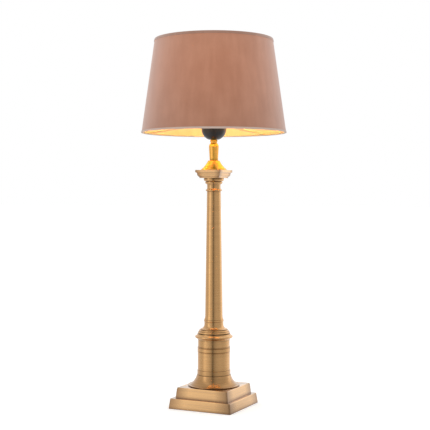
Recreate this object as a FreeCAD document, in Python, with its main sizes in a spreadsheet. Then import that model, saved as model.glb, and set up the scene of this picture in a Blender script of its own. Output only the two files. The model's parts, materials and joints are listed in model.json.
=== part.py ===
# Column table lamp: a stepped square plinth, a turned pedestal, a tapered column with a moulded
# capital, a black lampholder with a bulb, and a velvet drum shade on a three-armed carrier.
# One hollow threaded rod holds the whole stand together, from the nut in the ballast to the holder.
# Origin at the centre of the underside, +Z up, plinth faces square to X and Y, cord inlet at +Y.
# Millimetres and degrees.
import FreeCAD
import Part
import Sketcher
import math
import os

SIZES = {
    # Threaded rod that clamps the stack, and the fits on it
    "rod_radius": 5.0,
    "rod_bore": 3.5,
    "bore_gap": 0.2,
    "thread_gap": 0.05,
    "spigot_gap": 0.1,
    "spigot_rise": 4.0,
    # Felt under the ballast
    "felt_gap": 2.1,
    "felt_thick": 2.0,
    "felt_hole": 20.0,
    # Plinth blocks: hollow, with sides that lean in as they rise, the upper set in on the lower
    "rim_lift": 0.6,
    "plinth_wall": 2.5,
    "plinth_corner": 3.0,
    "plinth_edge": 1.6,
    "plinth_side": 140.2,
    "lower_lean": 2.6,
    "lower_rise": 20.8,
    "plinth_ledge": 8.2,
    "upper_lean": 2.5,
    "upper_rise": 21.7,
    # Ballast in the lower block, and the nut that pulls against it
    "ballast_gap": 0.75,
    "recess_radius": 18.0,
    "recess_depth": 8.0,
    "washer_radius": 16.0,
    "washer_thick": 2.0,
    "nut_flats": 17.0,
    "nut_thick": 4.5,
    "rod_tail": 0.7,
    # Cord inlet in the back of the lower block
    "inlet_height": 8.5,
    "inlet_bore": 3.4,
    "inlet_sleeve_wall": 1.0,
    "inlet_sleeve": 3.2,
    "inlet_flange": 6.5,
    "inlet_flange_thick": 1.8,
    "inlet_sink": 0.2,
    "channel_room": 1.1,
    "channel_headroom": 0.6,
    # Skirt that sweeps from the square plinth in to the round pedestal
    "skirt_set_in": 3.3,
    "skirt_lip": 2.5,
    "skirt_shoulder": 4.0,
    "skirt_ledge": 0.8,
    "skirt_rise": 22.9,
    "skirt_wall": 2.0,
    # Pedestal: the drum, and the ring, grooved band, frieze and cornice that step out or in from it
    "tube_wall": 1.8,
    "web_thick": 3.0,
    "drum_radius": 33.4,
    "drum_rise": 36.6,
    "foot_ring_step": 1.0,
    "foot_ring_rise": 9.6,
    "band_step": 0.5,
    "band_rise": 11.4,
    "groove_inset": 1.7,
    "groove_half": 0.7,
    "groove_depth": 0.8,
    "frieze_step": 0.5,
    "frieze_rise": 14.4,
    "cornice_lip": 0.6,
    "cornice_throw": 4.1,
    "cornice_nose_low": 4.4,
    "cornice_nose_high": 8.8,
    "cornice_slope": 3.4,
    "cornice_rise": 12.5,
    "edge_round": 0.8,
    # Column base: torus, scotia and the collar under the shaft, each set in from the one below
    "torus_set_in": 2.4,
    "torus_band": 4.8,
    "torus_step": 0.6,
    "torus_round": 1.6,
    "torus_rise": 8.3,
    "scotia_set_in": 1.6,
    "scotia_lip_rise": 2.3,
    "scotia_fillet": 2.0,
    "scotia_waist_step": 0.2,
    "scotia_waist_height": 11.5,
    "scotia_rise": 16.4,
    "collar_step": 1.4,
    "collar_bead": 4.6,
    "collar_flare": 2.0,
    "collar_rise": 12.0,
    # Column shaft
    "shaft_bottom": 18.2,
    "shaft_top": 14.4,
    "shaft_rise": 258.0,
    "shaft_wall": 1.6,
    # Capital: astragal, neck and echinus, each thrown out from the one below
    "astragal_throw": 0.8,
    "astragal_bead": 4.4,
    "astragal_rise": 7.0,
    "neck_set_in": 0.3,
    "neck_flare": 1.6,
    "neck_straight": 5.0,
    "neck_rise": 8.4,
    "quirk_throw": 1.1,
    "quirk_width": 0.8,
    "annulet_throw": 0.7,
    "annulet_foot": 1.0,
    "annulet_top": 4.6,
    "ovolo_step": 1.8,
    "ovolo_top": 9.0,
    "echinus_throw": 2.3,
    "echinus_rise": 12.0,
    # Square abacus: foot, ovolo, fillet, cove and edge band, and the bell on top
    "abacus_foot_step": 1.3,
    "abacus_foot_rise": 2.2,
    "abacus_ovolo_throw": 3.0,
    "abacus_ovolo_top": 6.0,
    "abacus_fillet_step": 0.5,
    "abacus_fillet_top": 7.8,
    "abacus_cove_throw": 2.0,
    "abacus_cove_top": 11.6,
    "abacus_edge_step": 1.0,
    "abacus_rise": 16.4,
    "bell_set_in": 1.3,
    "bell_lip": 0.8,
    "bell_top": 12.6,
    "bell_rim": 1.5,
    "bell_rise": 19.5,
    "bell_wall": 1.6,
    # Slender vase and collar under the lampholder
    "vase_foot": 7.6,
    "vase_bottom": 8.9,
    "vase_bottom_height": 2.2,
    "vase_shoulder": 10.3,
    "vase_shoulder_rise": 7.5,
    "vase_neck": 6.8,
    "vase_neck_straight": 1.5,
    "vase_rise": 37.5,
    "vase_collar_bead": 4.4,
    "vase_collar_rise": 6.0,
    # Lampholder: bowl-shaped cap, insert, threaded barrel, screw shell and contact
    "cap_foot": 10.5,
    "cap_radius": 25.5,
    "cap_bowl_rise": 22.0,
    "cap_rise": 25.0,
    "cap_wall": 2.2,
    "cap_ledge": 16.0,
    "cap_ledge_radius": 20.0,
    "cap_floor_radius": 12.5,
    "cap_floor": 2.4,
    "boss_radius": 8.5,
    "boss_rise": 10.0,
    "insert_flange": 4.0,
    "insert_gap": 0.3,
    "insert_floor": 15.0,
    "insert_rise": 34.0,
    "barrel_radius": 19.8,
    "barrel_wall": 2.6,
    "barrel_flange": 3.0,
    "barrel_rise": 35.0,
    "screw_gap": 0.35,
    "shell_wall": 0.45,
    "shell_rise": 25.0,
    "shell_lip_bore": 9.0,
    "contact_width": 6.0,
    "contact_thick": 0.4,
    "contact_clear": 1.0,
    "contact_knee": 4.0,
    "contact_flat": 2.0,
    "contact_lift": 3.0,
    "contact_drop": 1.5,
    "terminal_offset": 11.0,
    "terminal_head": 2.2,
    "terminal_head_rise": 1.6,
    "terminal_shank": 1.3,
    "terminal_depth": 6.0,
    # Bulb with a screw cap
    "contact_gap": 0.1,
    "tip_radius": 4.8,
    "tip_rise": 1.0,
    "insulator_rise": 3.5,
    "screw_radius": 13.1,
    "screw_chamfer": 2.2,
    "screw_rise": 22.5,
    "screw_wall": 0.5,
    "globe_radius": 30.0,
    "globe_wall": 1.0,
    "globe_seat": 12.0,
    "bulb_length": 104.0,
    # Ring nut that clamps the shade carrier
    "ring_gap": 0.35,
    "ring_lift": 0.3,
    "ring_hub_wall": 4.35,
    "ring_flange": 4.0,
    "ring_flange_thick": 2.5,
    "ring_rise": 12.0,
    "ring_notch": 1.6,
    "ring_notches": 12,
    # Shade carrier
    "plate_margin": 4.5,
    "plate_thick": 1.5,
    "plate_gap": 0.4,
    "arm_radius": 1.5,
    "arm_inset": 3.5,
    "arm_straight": 8.0,
    "arm_bend": 12.0,
    "arm_angle": 68.0,
    "arm_count": 3,
    "wire_radius": 1.25,
    # Shade
    "shade_drop": 14.5,
    "shade_bottom": 149.2,
    "shade_top": 121.9,
    "shade_rise": 190.9,
    "cover_thick": 0.9,
    "liner_thick": 0.6,
    "trim_thick": 0.8,
    "top_trim_depth": 4.6,
    "bottom_trim_depth": 3.0,
}

# Degrees that the mouldings turn through: a quarter turn, then from the fullest to the flattest
QUARTER = math.degrees(math.pi / 2)
DEEP = 140
ROUND = 70
HOLLOW = 60
SWEEP = 48
SLIGHT = 24

# Degrees below its middle at which the ball of the bulb runs into the neck
SHOULDER = 40

AXIS = FreeCAD.Vector(0, 0, 1)
LEVEL = 0.001

doc = FreeCAD.newDocument("ColumnTableLamp")
sheet = doc.addObject("Spreadsheet::Sheet", "Sizes")
pieces = []


class Dim:
    """A length or share: its value now, and the formula over the sheet that keeps it true."""

    def __init__(self, value, formula):
        self.value = value
        self.formula = formula

    def __add__(self, other):
        other = as_dim(other)
        return Dim(self.value + other.value, f"({self.formula} + {other.formula})")

    def __sub__(self, other):
        other = as_dim(other)
        return Dim(self.value - other.value, f"({self.formula} - {other.formula})")

    def __mul__(self, other):
        other = as_dim(other)
        return Dim(self.value * other.value, f"({self.formula} * {other.formula})")

    def __truediv__(self, other):
        other = as_dim(other)
        return Dim(self.value / other.value, f"({self.formula} / {other.formula})")

    def __neg__(self):
        return Dim(-self.value, f"(0 - {self.formula})")


def as_dim(number):
    return number if isinstance(number, Dim) else Dim(float(number), repr(float(number)))


def size(alias):
    """The driving dimension of that name."""
    return Dim(float(SIZES[alias]), f"{sheet.Name}.{alias}")


def write_sheet():
    for row, (alias, value) in enumerate(SIZES.items(), start=1):
        sheet.set(f"A{row}", alias)
        sheet.set(f"B{row}", str(value))
        sheet.setAlias(f"B{row}", alias)
    doc.recompute()


def level_of(piece):
    """The height at which a piece stands."""
    return Dim(piece.Placement.Base.z, f"({piece.Name}.Placement.Base.z / 1 mm)")


def stand(piece, level):
    """Puts a piece at its height on the lamp's axis."""
    piece.Placement = FreeCAD.Placement(AXIS * level.value, FreeCAD.Rotation())
    piece.setExpression(".Placement.Base.z", level.formula)


def new_name(label):
    return "".join(word.capitalize() for word in label.split("_"))


def keep(piece, label):
    """Counts a finished object as one sub-part of the lamp."""
    piece.Label = label
    pieces.append(piece)
    return piece


def new_body(label):
    body = doc.addObject("PartDesign::Body", new_name(label))
    return keep(body, label)


def plane_of(body, role):
    return next(f for f in body.Origin.OriginFeatures if f.Role == role)


def new_sketch(body, role, offset=None):
    """An empty sketch on one of the body's origin planes, or at an offset along its normal."""
    sketch = body.newObject("Sketcher::SketchObject", f"{body.Name}Sketch")
    sketch.AttachmentSupport = (plane_of(body, role), [""])
    sketch.MapMode = "FlatFace"
    if offset is not None:
        sketch.AttachmentOffset = FreeCAD.Placement(AXIS * offset.value, FreeCAD.Rotation())
        sketch.setExpression(".AttachmentOffset.Base.z", offset.formula)
    return sketch


def bind(sketch, kind, *places, to):
    """Adds a dimension to the sketch and ties it to its formula."""
    index = sketch.addConstraint(Sketcher.Constraint(kind, *places, to.value))
    sketch.setExpression(f"Constraints[{index}]", to.formula)


class Outline:
    """A closed outline of straight runs and arcs, as (across, up) from the sketch's origin."""

    def __init__(self, across, up):
        self.points = [(as_dim(across), as_dim(up))]
        self.turns = []
        self.last_turn = 0

    def to(self, across, up, turn=0):
        """Goes on to a point: straight, or by an arc that turns left by so many degrees."""
        self.points.append((as_dim(across), as_dim(up)))
        self.turns.append(turn)
        return self

    def close(self, turn):
        """Makes the run back to the first point an arc."""
        self.last_turn = turn
        return self

    def draw(self, sketch):
        first = sketch.GeometryCount
        ends = []
        count = len(self.points)
        for index, turn in enumerate(self.turns + [self.last_turn]):
            start = self.points[index]
            end = self.points[(index + 1) % count]
            if turn:
                ends.append(draw_arc(sketch, start, end, turn))
            else:
                ends.append(draw_line(sketch, start, end))
        for index in range(count):
            here = first + index
            after = first + (index + 1) % count
            leave = ends[index][1]
            enter = ends[(index + 1) % count][0]
            sketch.addConstraint(Sketcher.Constraint("Coincident", here, leave, after, enter))
            across, up = self.points[index]
            bind(sketch, "DistanceX", -1, 1, here, ends[index][0], to=across)
            bind(sketch, "DistanceY", -1, 1, here, ends[index][0], to=up)
        return sketch


def draw_line(sketch, start, end):
    begin = FreeCAD.Vector(start[0].value, start[1].value, 0)
    finish = FreeCAD.Vector(end[0].value, end[1].value, 0)
    sketch.addGeometry(Part.LineSegment(begin, finish), False)
    return 1, 2


def draw_arc(sketch, start, end, turn):
    """An arc that turns left by turn degrees, or right where that is negative."""
    run = end[0] - start[0]
    rise = end[1] - start[1]
    half_turn = math.radians(abs(turn)) / 2
    chord = math.hypot(run.value, rise.value)
    radius = chord / (2 * math.sin(half_turn))
    side = math.copysign(radius * math.cos(half_turn), turn)
    centre = FreeCAD.Vector(
        (start[0].value + end[0].value) / 2 - rise.value / chord * side,
        (start[1].value + end[1].value) / 2 + run.value / chord * side,
        0,
    )
    low, high = (start, end) if turn > 0 else (end, start)
    from_angle = math.atan2(low[1].value - centre.y, low[0].value - centre.x)
    circle = Part.Circle(centre, AXIS, radius)
    arc = Part.ArcOfCircle(circle, from_angle, from_angle + 2 * half_turn)
    index = sketch.addGeometry(arc, False)
    formula = f"sqrt({run.formula}^2 + {rise.formula}^2) / (2 * sin({abs(turn) / 2} deg))"
    bind(sketch, "Radius", index, to=Dim(radius, formula))
    return (1, 2) if turn > 0 else (2, 1)


def draw_circle(sketch, across, up, radius):
    centre = FreeCAD.Vector(across.value, up.value, 0)
    index = sketch.addGeometry(Part.Circle(centre, AXIS, radius.value), False)
    bind(sketch, "DistanceX", -1, 1, index, 3, to=across)
    bind(sketch, "DistanceY", -1, 1, index, 3, to=up)
    bind(sketch, "Radius", index, to=radius)
    return sketch


def revolve(body, sketch):
    turned = body.newObject("PartDesign::Revolution", f"{body.Name}Turned")
    turned.Profile = sketch
    turned.ReferenceAxis = (sketch, ["V_Axis"])
    turned.Angle = 360
    return turned


def taper(feature, run, rise):
    """Leans a pad's or pocket's sides in by run over rise."""
    feature.TaperAngle = -math.degrees(math.atan(run.value / rise.value))
    feature.setExpression("TaperAngle", f"0 deg - atan({run.formula} / {rise.formula})")


def pad(body, sketch, length, both_ways=False):
    solid = body.newObject("PartDesign::Pad", f"{body.Name}Pad")
    solid.Profile = sketch
    solid.Length = length.value
    solid.setExpression("Length", length.formula)
    solid.Midplane = both_ways
    return solid


def pocket(body, sketch, depth=None, both_ways=False, backwards=False):
    """Cuts a sketch out of the body, to a depth or right through, and makes sure that it cuts."""
    doc.recompute()
    before = body.Shape.Volume
    cut = body.newObject("PartDesign::Pocket", f"{body.Name}Pocket")
    cut.Profile = sketch
    cut.Midplane = both_ways
    cut.Reversed = backwards
    if depth is None:
        cut.Type = "ThroughAll"
    else:
        cut.Length = depth.value
        cut.setExpression("Length", depth.formula)
    doc.recompute()
    if not body.Shape.Volume < before:
        raise RuntimeError(f"{cut.Name} cuts nothing")
    return cut


def around(body, feature, count):
    """Repeats a feature evenly round the body's own Z axis."""
    ring = body.newObject("PartDesign::PolarPattern", f"{body.Name}Around")
    ring.Originals = [feature]
    ring.Axis = (plane_of(body, "Z_Axis"), [""])
    ring.Angle = 360
    ring.Occurrences = int(count.value)
    ring.setExpression("Occurrences", count.formula)
    body.Tip = ring
    return ring


def turned_piece(label, level, outline):
    """A piece turned on the lathe: its outline runs round the section on one side of the axis."""
    body = new_body(label)
    revolve(body, outline.draw(new_sketch(body, "XZ_Plane")))
    stand(body, level)
    return body


def tube(label, level, bottom_radius, top_radius, wall, rise):
    outline = Outline(bottom_radius - wall, 0)
    outline.to(bottom_radius, 0)
    outline.to(top_radius, rise)
    outline.to(top_radius - wall, rise)
    return turned_piece(label, level, outline)


def square_outline(side):
    half = side / 2
    return Outline(-half, -half).to(half, -half).to(half, half).to(-half, half)


def rod_hole():
    """The radius of every hole that the rod passes through."""
    return size("rod_radius") + size("bore_gap")


def level_above(piece, rise):
    return level_of(piece) + size(rise)


def lower_top_side():
    return size("plinth_side") - size("lower_lean") * 2


def upper_bottom_side():
    return lower_top_side() - size("plinth_ledge") * 2


def upper_top_side():
    return upper_bottom_side() - size("upper_lean") * 2


def skirt_radius():
    return upper_top_side() / 2 - size("skirt_set_in")


def foot_ring_radius():
    return size("drum_radius") + size("foot_ring_step")


def frieze_radius():
    return size("drum_radius") - size("frieze_step")


def cornice_nose():
    return frieze_radius() + size("cornice_lip") + size("cornice_throw")


def cornice_top():
    return cornice_nose() - size("cornice_slope")


def torus_radius():
    return cornice_top() - size("torus_set_in")


def torus_top():
    return torus_radius() - size("torus_step") - size("torus_round")


def collar_radius():
    return size("shaft_bottom") + size("collar_step")


def neck_radius():
    return size("shaft_top") - size("neck_set_in")


def neck_flare():
    return neck_radius() + size("neck_flare")


def quirk_radius():
    return neck_flare() + size("quirk_throw")


def echinus_radius():
    return quirk_radius() + size("ovolo_step") + size("echinus_throw")


def barrel_bore():
    return size("barrel_radius") - size("barrel_wall")


def shell_bore():
    """The radius inside the screw shell, which the bulb's cap turns in."""
    return size("screw_radius") + size("screw_gap")


def ring_bore():
    return size("barrel_radius") + size("ring_gap")


def ring_hub():
    return ring_bore() + size("ring_hub_wall")


def ring_rim():
    return ring_hub() + size("ring_flange")


def holder_rim():
    """The radius of what drops into the mouth of the holder's cap."""
    return size("cap_radius") - size("cap_wall") - size("spigot_gap")


def tube_spigot(radius):
    """The radius of a spigot that fits inside one of the pedestal's tubes."""
    return radius - size("tube_wall") - size("spigot_gap")


def edges_where(feature, test):
    """The names of a feature's edges whose boxes pass a test."""
    edges = enumerate(feature.Shape.Edges, start=1)
    return [f"Edge{number}" for number, edge in edges if test(edge.BoundBox)]


def round_edges(body, base, names, radius):
    rounding = body.newObject("PartDesign::Fillet", f"{body.Name}Round")
    rounding.Base = (base, names)
    rounding.Radius = radius.value
    rounding.setExpression("Radius", radius.formula)
    doc.recompute()
    return rounding


def upright(box):
    """Whether an edge climbs, as the corners of a block do."""
    return box.ZLength > LEVEL


def make_felt():
    felt = new_body("base_felt")
    sketch = new_sketch(felt, "XY_Plane")
    side = size("plinth_side") - size("plinth_wall") * 2 - size("felt_gap") * 2
    square_outline(side).draw(sketch)
    draw_circle(sketch, as_dim(0), as_dim(0), size("felt_hole"))
    pad(felt, sketch, size("felt_thick"))
    return felt


def plinth_shell(label, level, bottom_side, lean, rise):
    """A hollow block with sloping sides, a closed top and a hole for the rod."""
    wall = size("plinth_wall")
    shell = new_body(label)
    block = pad(shell, square_outline(bottom_side).draw(new_sketch(shell, "XY_Plane")), rise)
    taper(block, lean, rise)
    doc.recompute()
    corners = round_edges(shell, block, edges_where(block, upright), size("plinth_corner"))
    top = edges_where(corners, lambda box: box.ZMin > rise.value - LEVEL)
    round_edges(shell, corners, top, size("plinth_edge"))
    inside = square_outline(bottom_side - wall * 2).draw(new_sketch(shell, "XY_Plane"))
    taper(pocket(shell, inside, rise - wall, backwards=True), lean, rise)
    hole = draw_circle(new_sketch(shell, "XY_Plane", rise), as_dim(0), as_dim(0), rod_hole())
    pocket(shell, hole)
    stand(shell, level)
    return shell


def lower_half_width_at(height):
    """Half the width of the lower block's outside, at a height above the table."""
    slope = size("lower_lean") / size("lower_rise")
    return size("plinth_side") / 2 - (height - size("rim_lift")) * slope


def inlet_seat():
    """How far back the flat lies that the inlet bush's flange rests on."""
    return lower_half_width_at(size("inlet_height") + size("inlet_flange")) - size("inlet_sink")


def make_lower_plinth():
    sizes = size("plinth_side"), size("lower_lean"), size("lower_rise")
    shell = plinth_shell("lower_plinth", size("rim_lift"), *sizes)
    height = size("inlet_height") - size("rim_lift")
    sleeve = size("inlet_bore") + size("inlet_sleeve_wall") + size("thread_gap")
    hole = draw_circle(new_sketch(shell, "XZ_Plane"), as_dim(0), height, sleeve)
    pocket(shell, hole)
    flange = size("inlet_flange") + size("spigot_gap")
    face = draw_circle(new_sketch(shell, "XZ_Plane", -inlet_seat()), as_dim(0), height, flange)
    pocket(shell, face)
    return shell


def make_upper_plinth(lower):
    sizes = upper_bottom_side(), size("upper_lean"), size("upper_rise")
    return plinth_shell("upper_plinth", level_above(lower, "lower_rise"), *sizes)


def make_inlet_bush():
    """The bush that lines the cord's way in, turned about its own axis and laid along +Y."""
    bush = new_body("inlet_bush")
    bore = size("inlet_bore")
    sleeve = bore + size("inlet_sleeve_wall")
    flange = size("inlet_flange")
    thick = size("inlet_flange_thick")
    outline = Outline(bore, -size("inlet_sleeve"))
    outline.to(sleeve, -size("inlet_sleeve"))
    outline.to(sleeve, 0)
    outline.to(flange, 0)
    outline.to(flange, thick / 2)
    outline.to(flange - thick / 2, thick, QUARTER)
    outline.to(bore, thick)
    revolve(bush, outline.draw(new_sketch(bush, "XZ_Plane")))
    along = FreeCAD.Rotation(FreeCAD.Vector(1, 0, 0), -90)
    place = FreeCAD.Vector(0, inlet_seat().value, size("inlet_height").value)
    bush.Placement = FreeCAD.Placement(place, along)
    bush.setExpression(".Placement.Base.y", inlet_seat().formula)
    bush.setExpression(".Placement.Base.z", size("inlet_height").formula)
    return bush


def ceiling_height():
    """The underside of the lower block's top, above the table."""
    return size("rim_lift") + size("lower_rise") - size("plinth_wall")


def make_ballast():
    """Cast block that fills the lower plinth, with the nut's recess and the cord's channel below."""
    ballast = new_body("ballast_block")
    side = lower_top_side() - size("plinth_wall") * 2 - size("ballast_gap") * 2
    outer = new_sketch(ballast, "XY_Plane")
    square_outline(side).draw(outer)
    draw_circle(outer, as_dim(0), as_dim(0), rod_hole())
    pad(ballast, outer, ceiling_height() - size("felt_thick"))
    recess = draw_circle(new_sketch(ballast, "XY_Plane"), as_dim(0), as_dim(0), size("recess_radius"))
    pocket(ballast, recess, size("recess_depth"), backwards=True)
    half = size("inlet_bore") + size("channel_room")
    way = Outline(-half, 0).to(half, 0).to(half, side).to(-half, side)
    channel = way.draw(new_sketch(ballast, "XY_Plane"))
    inlet_top = size("inlet_height") + size("inlet_bore") - size("felt_thick")
    pocket(ballast, channel, inlet_top + size("channel_headroom"), backwards=True)
    stand(ballast, size("felt_thick"))
    return ballast


def make_washer(ballast):
    level = level_of(ballast) + size("recess_depth") - size("washer_thick")
    bore = rod_hole()
    outline = Outline(bore, 0).to(size("washer_radius"), 0)
    outline.to(size("washer_radius"), size("washer_thick")).to(bore, size("washer_thick"))
    return turned_piece("clamp_washer", level, outline)


def make_nut(washer):
    """Hexagon nut under the washer, as a prism with the rod's hole cut through."""
    hexagon = doc.addObject("Part::Prism", "ClampNutHexagon")
    hexagon.Polygon = 6
    hexagon.setExpression("Circumradius", f"{size('nut_flats').formula} / 2 / cos(30 deg)")
    hexagon.setExpression("Height", size("nut_thick").formula)
    hole = doc.addObject("Part::Cylinder", "ClampNutHole")
    hole.setExpression("Radius", (size("rod_radius") + size("thread_gap")).formula)
    hole.setExpression("Height", size("nut_thick").formula)
    nut = doc.addObject("Part::Cut", "ClampNut")
    nut.Base = hexagon
    nut.Tool = hole
    stand(nut, level_of(washer) - size("nut_thick"))
    return keep(nut, "clamp_nut")


def make_rod(nut, holder_cap):
    """Hollow threaded rod from the nut up into the holder's boss: the cord runs inside it."""
    level = level_of(nut) - size("rod_tail")
    length = level_of(holder_cap) + size("boss_rise") - level
    rod = new_body("threaded_rod")
    section = new_sketch(rod, "XY_Plane")
    draw_circle(section, as_dim(0), as_dim(0), size("rod_radius"))
    draw_circle(section, as_dim(0), as_dim(0), size("rod_bore"))
    pad(rod, section, length)
    stand(rod, level)
    return rod


def make_skirt(plinth):
    """Spun skirt: a rounded lip, then a hollow sweep in to the pedestal."""
    wall = size("skirt_wall")
    lip = size("skirt_lip")
    radius = skirt_radius()
    cove_foot = radius - size("skirt_shoulder")
    top = foot_ring_radius() + size("skirt_ledge")
    rise = size("skirt_rise")
    outline = Outline(radius, 0)
    outline.to(radius, lip / 2)
    outline.to(radius - lip / 2, lip, QUARTER)
    outline.to(cove_foot, lip)
    outline.to(top, rise, -SWEEP)
    outline.to(top - wall, rise)
    outline.to(cove_foot - wall, lip / 2, SWEEP)
    outline.to(cove_foot - wall, 0)
    return turned_piece("foot_skirt", level_above(plinth, "upper_rise"), outline)


def make_foot_ring(skirt):
    """Ring that seats on the skirt, with a web for the rod and a spigot for the drum."""
    radius = foot_ring_radius()
    rise = size("foot_ring_rise")
    edge = size("edge_round")
    spigot = tube_spigot(size("drum_radius"))
    web = size("web_thick")
    outline = Outline(rod_hole(), 0)
    outline.to(radius - edge, 0)
    outline.to(radius, edge, QUARTER)
    outline.to(radius, rise - edge)
    outline.to(radius - edge, rise, QUARTER)
    outline.to(spigot, rise)
    outline.to(spigot, rise + size("spigot_rise"))
    outline.to(spigot - web, rise + size("spigot_rise"))
    outline.to(spigot - web, web)
    outline.to(rod_hole(), web)
    return turned_piece("pedestal_foot_ring", level_above(skirt, "skirt_rise"), outline)


def make_drum(foot_ring):
    radius = size("drum_radius")
    level = level_above(foot_ring, "foot_ring_rise")
    return tube("pedestal_drum", level, radius, radius, size("tube_wall"), size("drum_rise"))


def groove(outline, radius, height):
    """Cuts a turned groove into an outline that runs up at a radius."""
    half = size("groove_half")
    outline.to(radius, height - half)
    outline.to(radius - size("groove_depth"), height)
    outline.to(radius, height + half)


def make_band(drum):
    """Band with two turned grooves, with a spigot into the drum and one into the frieze."""
    radius = size("drum_radius") + size("band_step")
    rise = size("band_rise")
    reach = size("spigot_rise")
    edge = size("edge_round") / 2
    low = tube_spigot(size("drum_radius"))
    high = tube_spigot(frieze_radius())
    inner = high - size("tube_wall")
    outline = Outline(inner, -reach)
    outline.to(low, -reach)
    outline.to(low, 0)
    outline.to(radius - edge, 0)
    outline.to(radius, edge, QUARTER)
    groove(outline, radius, size("groove_inset"))
    groove(outline, radius, rise - size("groove_inset"))
    outline.to(radius, rise - edge)
    outline.to(radius - edge, rise, QUARTER)
    outline.to(high, rise)
    outline.to(high, rise + reach)
    outline.to(inner, rise + reach)
    return turned_piece("pedestal_band", level_above(drum, "drum_rise"), outline)


def make_frieze(band):
    radius = frieze_radius()
    level = level_above(band, "band_rise")
    return tube("pedestal_frieze", level, radius, radius, size("tube_wall"), size("frieze_rise"))


def make_cornice(frieze):
    """Cornice that caps the pedestal: hollow moulding, round nose and a sloping top."""
    spigot = tube_spigot(frieze_radius())
    reach = size("spigot_rise")
    inner = spigot - size("web_thick")
    nose = cornice_nose()
    rise = size("cornice_rise")
    web = rise - size("web_thick")
    outline = Outline(inner, -reach)
    outline.to(spigot, -reach)
    outline.to(spigot, 0)
    outline.to(frieze_radius() + size("cornice_lip"), 0)
    outline.to(nose, size("cornice_nose_low"), -ROUND)
    outline.to(nose, size("cornice_nose_high"), DEEP)
    outline.to(cornice_top(), rise, -SWEEP)
    outline.to(rod_hole(), rise)
    outline.to(rod_hole(), web)
    outline.to(inner, web)
    return turned_piece("pedestal_cornice", level_above(frieze, "frieze_rise"), outline)


def make_torus(cornice):
    """Two rounds, one above the other, with a narrow step between."""
    radius = torus_radius()
    band = size("torus_band")
    step = size("torus_step")
    outline = Outline(rod_hole(), 0)
    outline.to(radius, 0)
    outline.to(radius, band, DEEP)
    outline.to(radius - step, band)
    outline.to(torus_top(), size("torus_rise"), QUARTER)
    outline.to(rod_hole(), size("torus_rise"))
    return turned_piece("column_torus", level_above(cornice, "cornice_rise"), outline)


def make_scotia(torus):
    """Lip and hollow that carry the eye from the torus in to the shaft."""
    lip = torus_top() - size("scotia_set_in")
    lip_rise = size("scotia_lip_rise")
    waist = collar_radius() + size("scotia_waist_step")
    outline = Outline(rod_hole(), 0)
    outline.to(lip, 0)
    outline.to(lip, lip_rise)
    outline.to(lip - size("scotia_fillet"), lip_rise)
    outline.to(waist, size("scotia_waist_height"), -ROUND)
    outline.to(waist, size("scotia_rise"))
    outline.to(rod_hole(), size("scotia_rise"))
    return turned_piece("column_scotia", level_above(torus, "torus_rise"), outline)


def shaft_spigot(radius):
    """The radius of a spigot that fits the shaft's bore at one end."""
    return size(radius) - size("shaft_wall") - size("spigot_gap")


def make_collar(scotia):
    """Collar with a bead, a flare up to the shaft and a spigot inside it."""
    radius = collar_radius()
    bead = size("collar_bead")
    rise = size("collar_rise")
    spigot = shaft_spigot("shaft_bottom")
    outline = Outline(rod_hole(), 0)
    outline.to(radius, 0)
    outline.to(radius, bead, QUARTER)
    outline.to(size("shaft_bottom") + size("collar_flare"), bead)
    outline.to(size("shaft_bottom"), rise, -SLIGHT)
    outline.to(spigot, rise)
    outline.to(spigot, rise + size("spigot_rise"))
    outline.to(rod_hole(), rise + size("spigot_rise"))
    return turned_piece("column_collar", level_above(scotia, "scotia_rise"), outline)


def make_shaft(collar):
    level = level_above(collar, "collar_rise")
    ends = size("shaft_bottom"), size("shaft_top")
    return tube("column_shaft", level, *ends, size("shaft_wall"), size("shaft_rise"))


def make_astragal(shaft):
    """Bead at the top of the shaft, with a spigot down inside it."""
    radius = size("shaft_top") + size("astragal_throw")
    bead = size("astragal_bead")
    spigot = shaft_spigot("shaft_top")
    outline = Outline(rod_hole(), -size("spigot_rise"))
    outline.to(spigot, -size("spigot_rise"))
    outline.to(spigot, 0)
    outline.to(radius, 0)
    outline.to(radius, bead, DEEP)
    outline.to(neck_radius() + size("edge_round"), bead)
    outline.to(neck_radius(), size("astragal_rise"), -SLIGHT)
    outline.to(rod_hole(), size("astragal_rise"))
    return turned_piece("capital_astragal", level_above(shaft, "shaft_rise"), outline)


def make_neck(astragal):
    outline = Outline(rod_hole(), 0)
    outline.to(neck_radius(), 0)
    outline.to(neck_radius(), size("neck_straight"))
    outline.to(neck_flare(), size("neck_rise"), -HOLLOW)
    outline.to(rod_hole(), size("neck_rise"))
    return turned_piece("capital_neck", level_above(astragal, "astragal_rise"), outline)


def make_echinus(neck):
    """Annulet, quirk and ovolo under the abacus."""
    quirk = quirk_radius()
    annulet = quirk + size("annulet_throw")
    quirk_top = size("annulet_top") + size("quirk_width")
    radius = echinus_radius()
    outline = Outline(rod_hole(), 0)
    outline.to(quirk, 0)
    outline.to(annulet, size("annulet_foot"))
    outline.to(annulet, size("annulet_top"), HOLLOW)
    outline.to(quirk, size("annulet_top"))
    outline.to(quirk, quirk_top)
    outline.to(quirk + size("ovolo_step"), quirk_top)
    outline.to(radius, size("ovolo_top"), ROUND)
    outline.to(radius, size("echinus_rise"))
    outline.to(rod_hole(), size("echinus_rise"))
    return turned_piece("capital_echinus", level_above(neck, "neck_rise"), outline)


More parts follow.
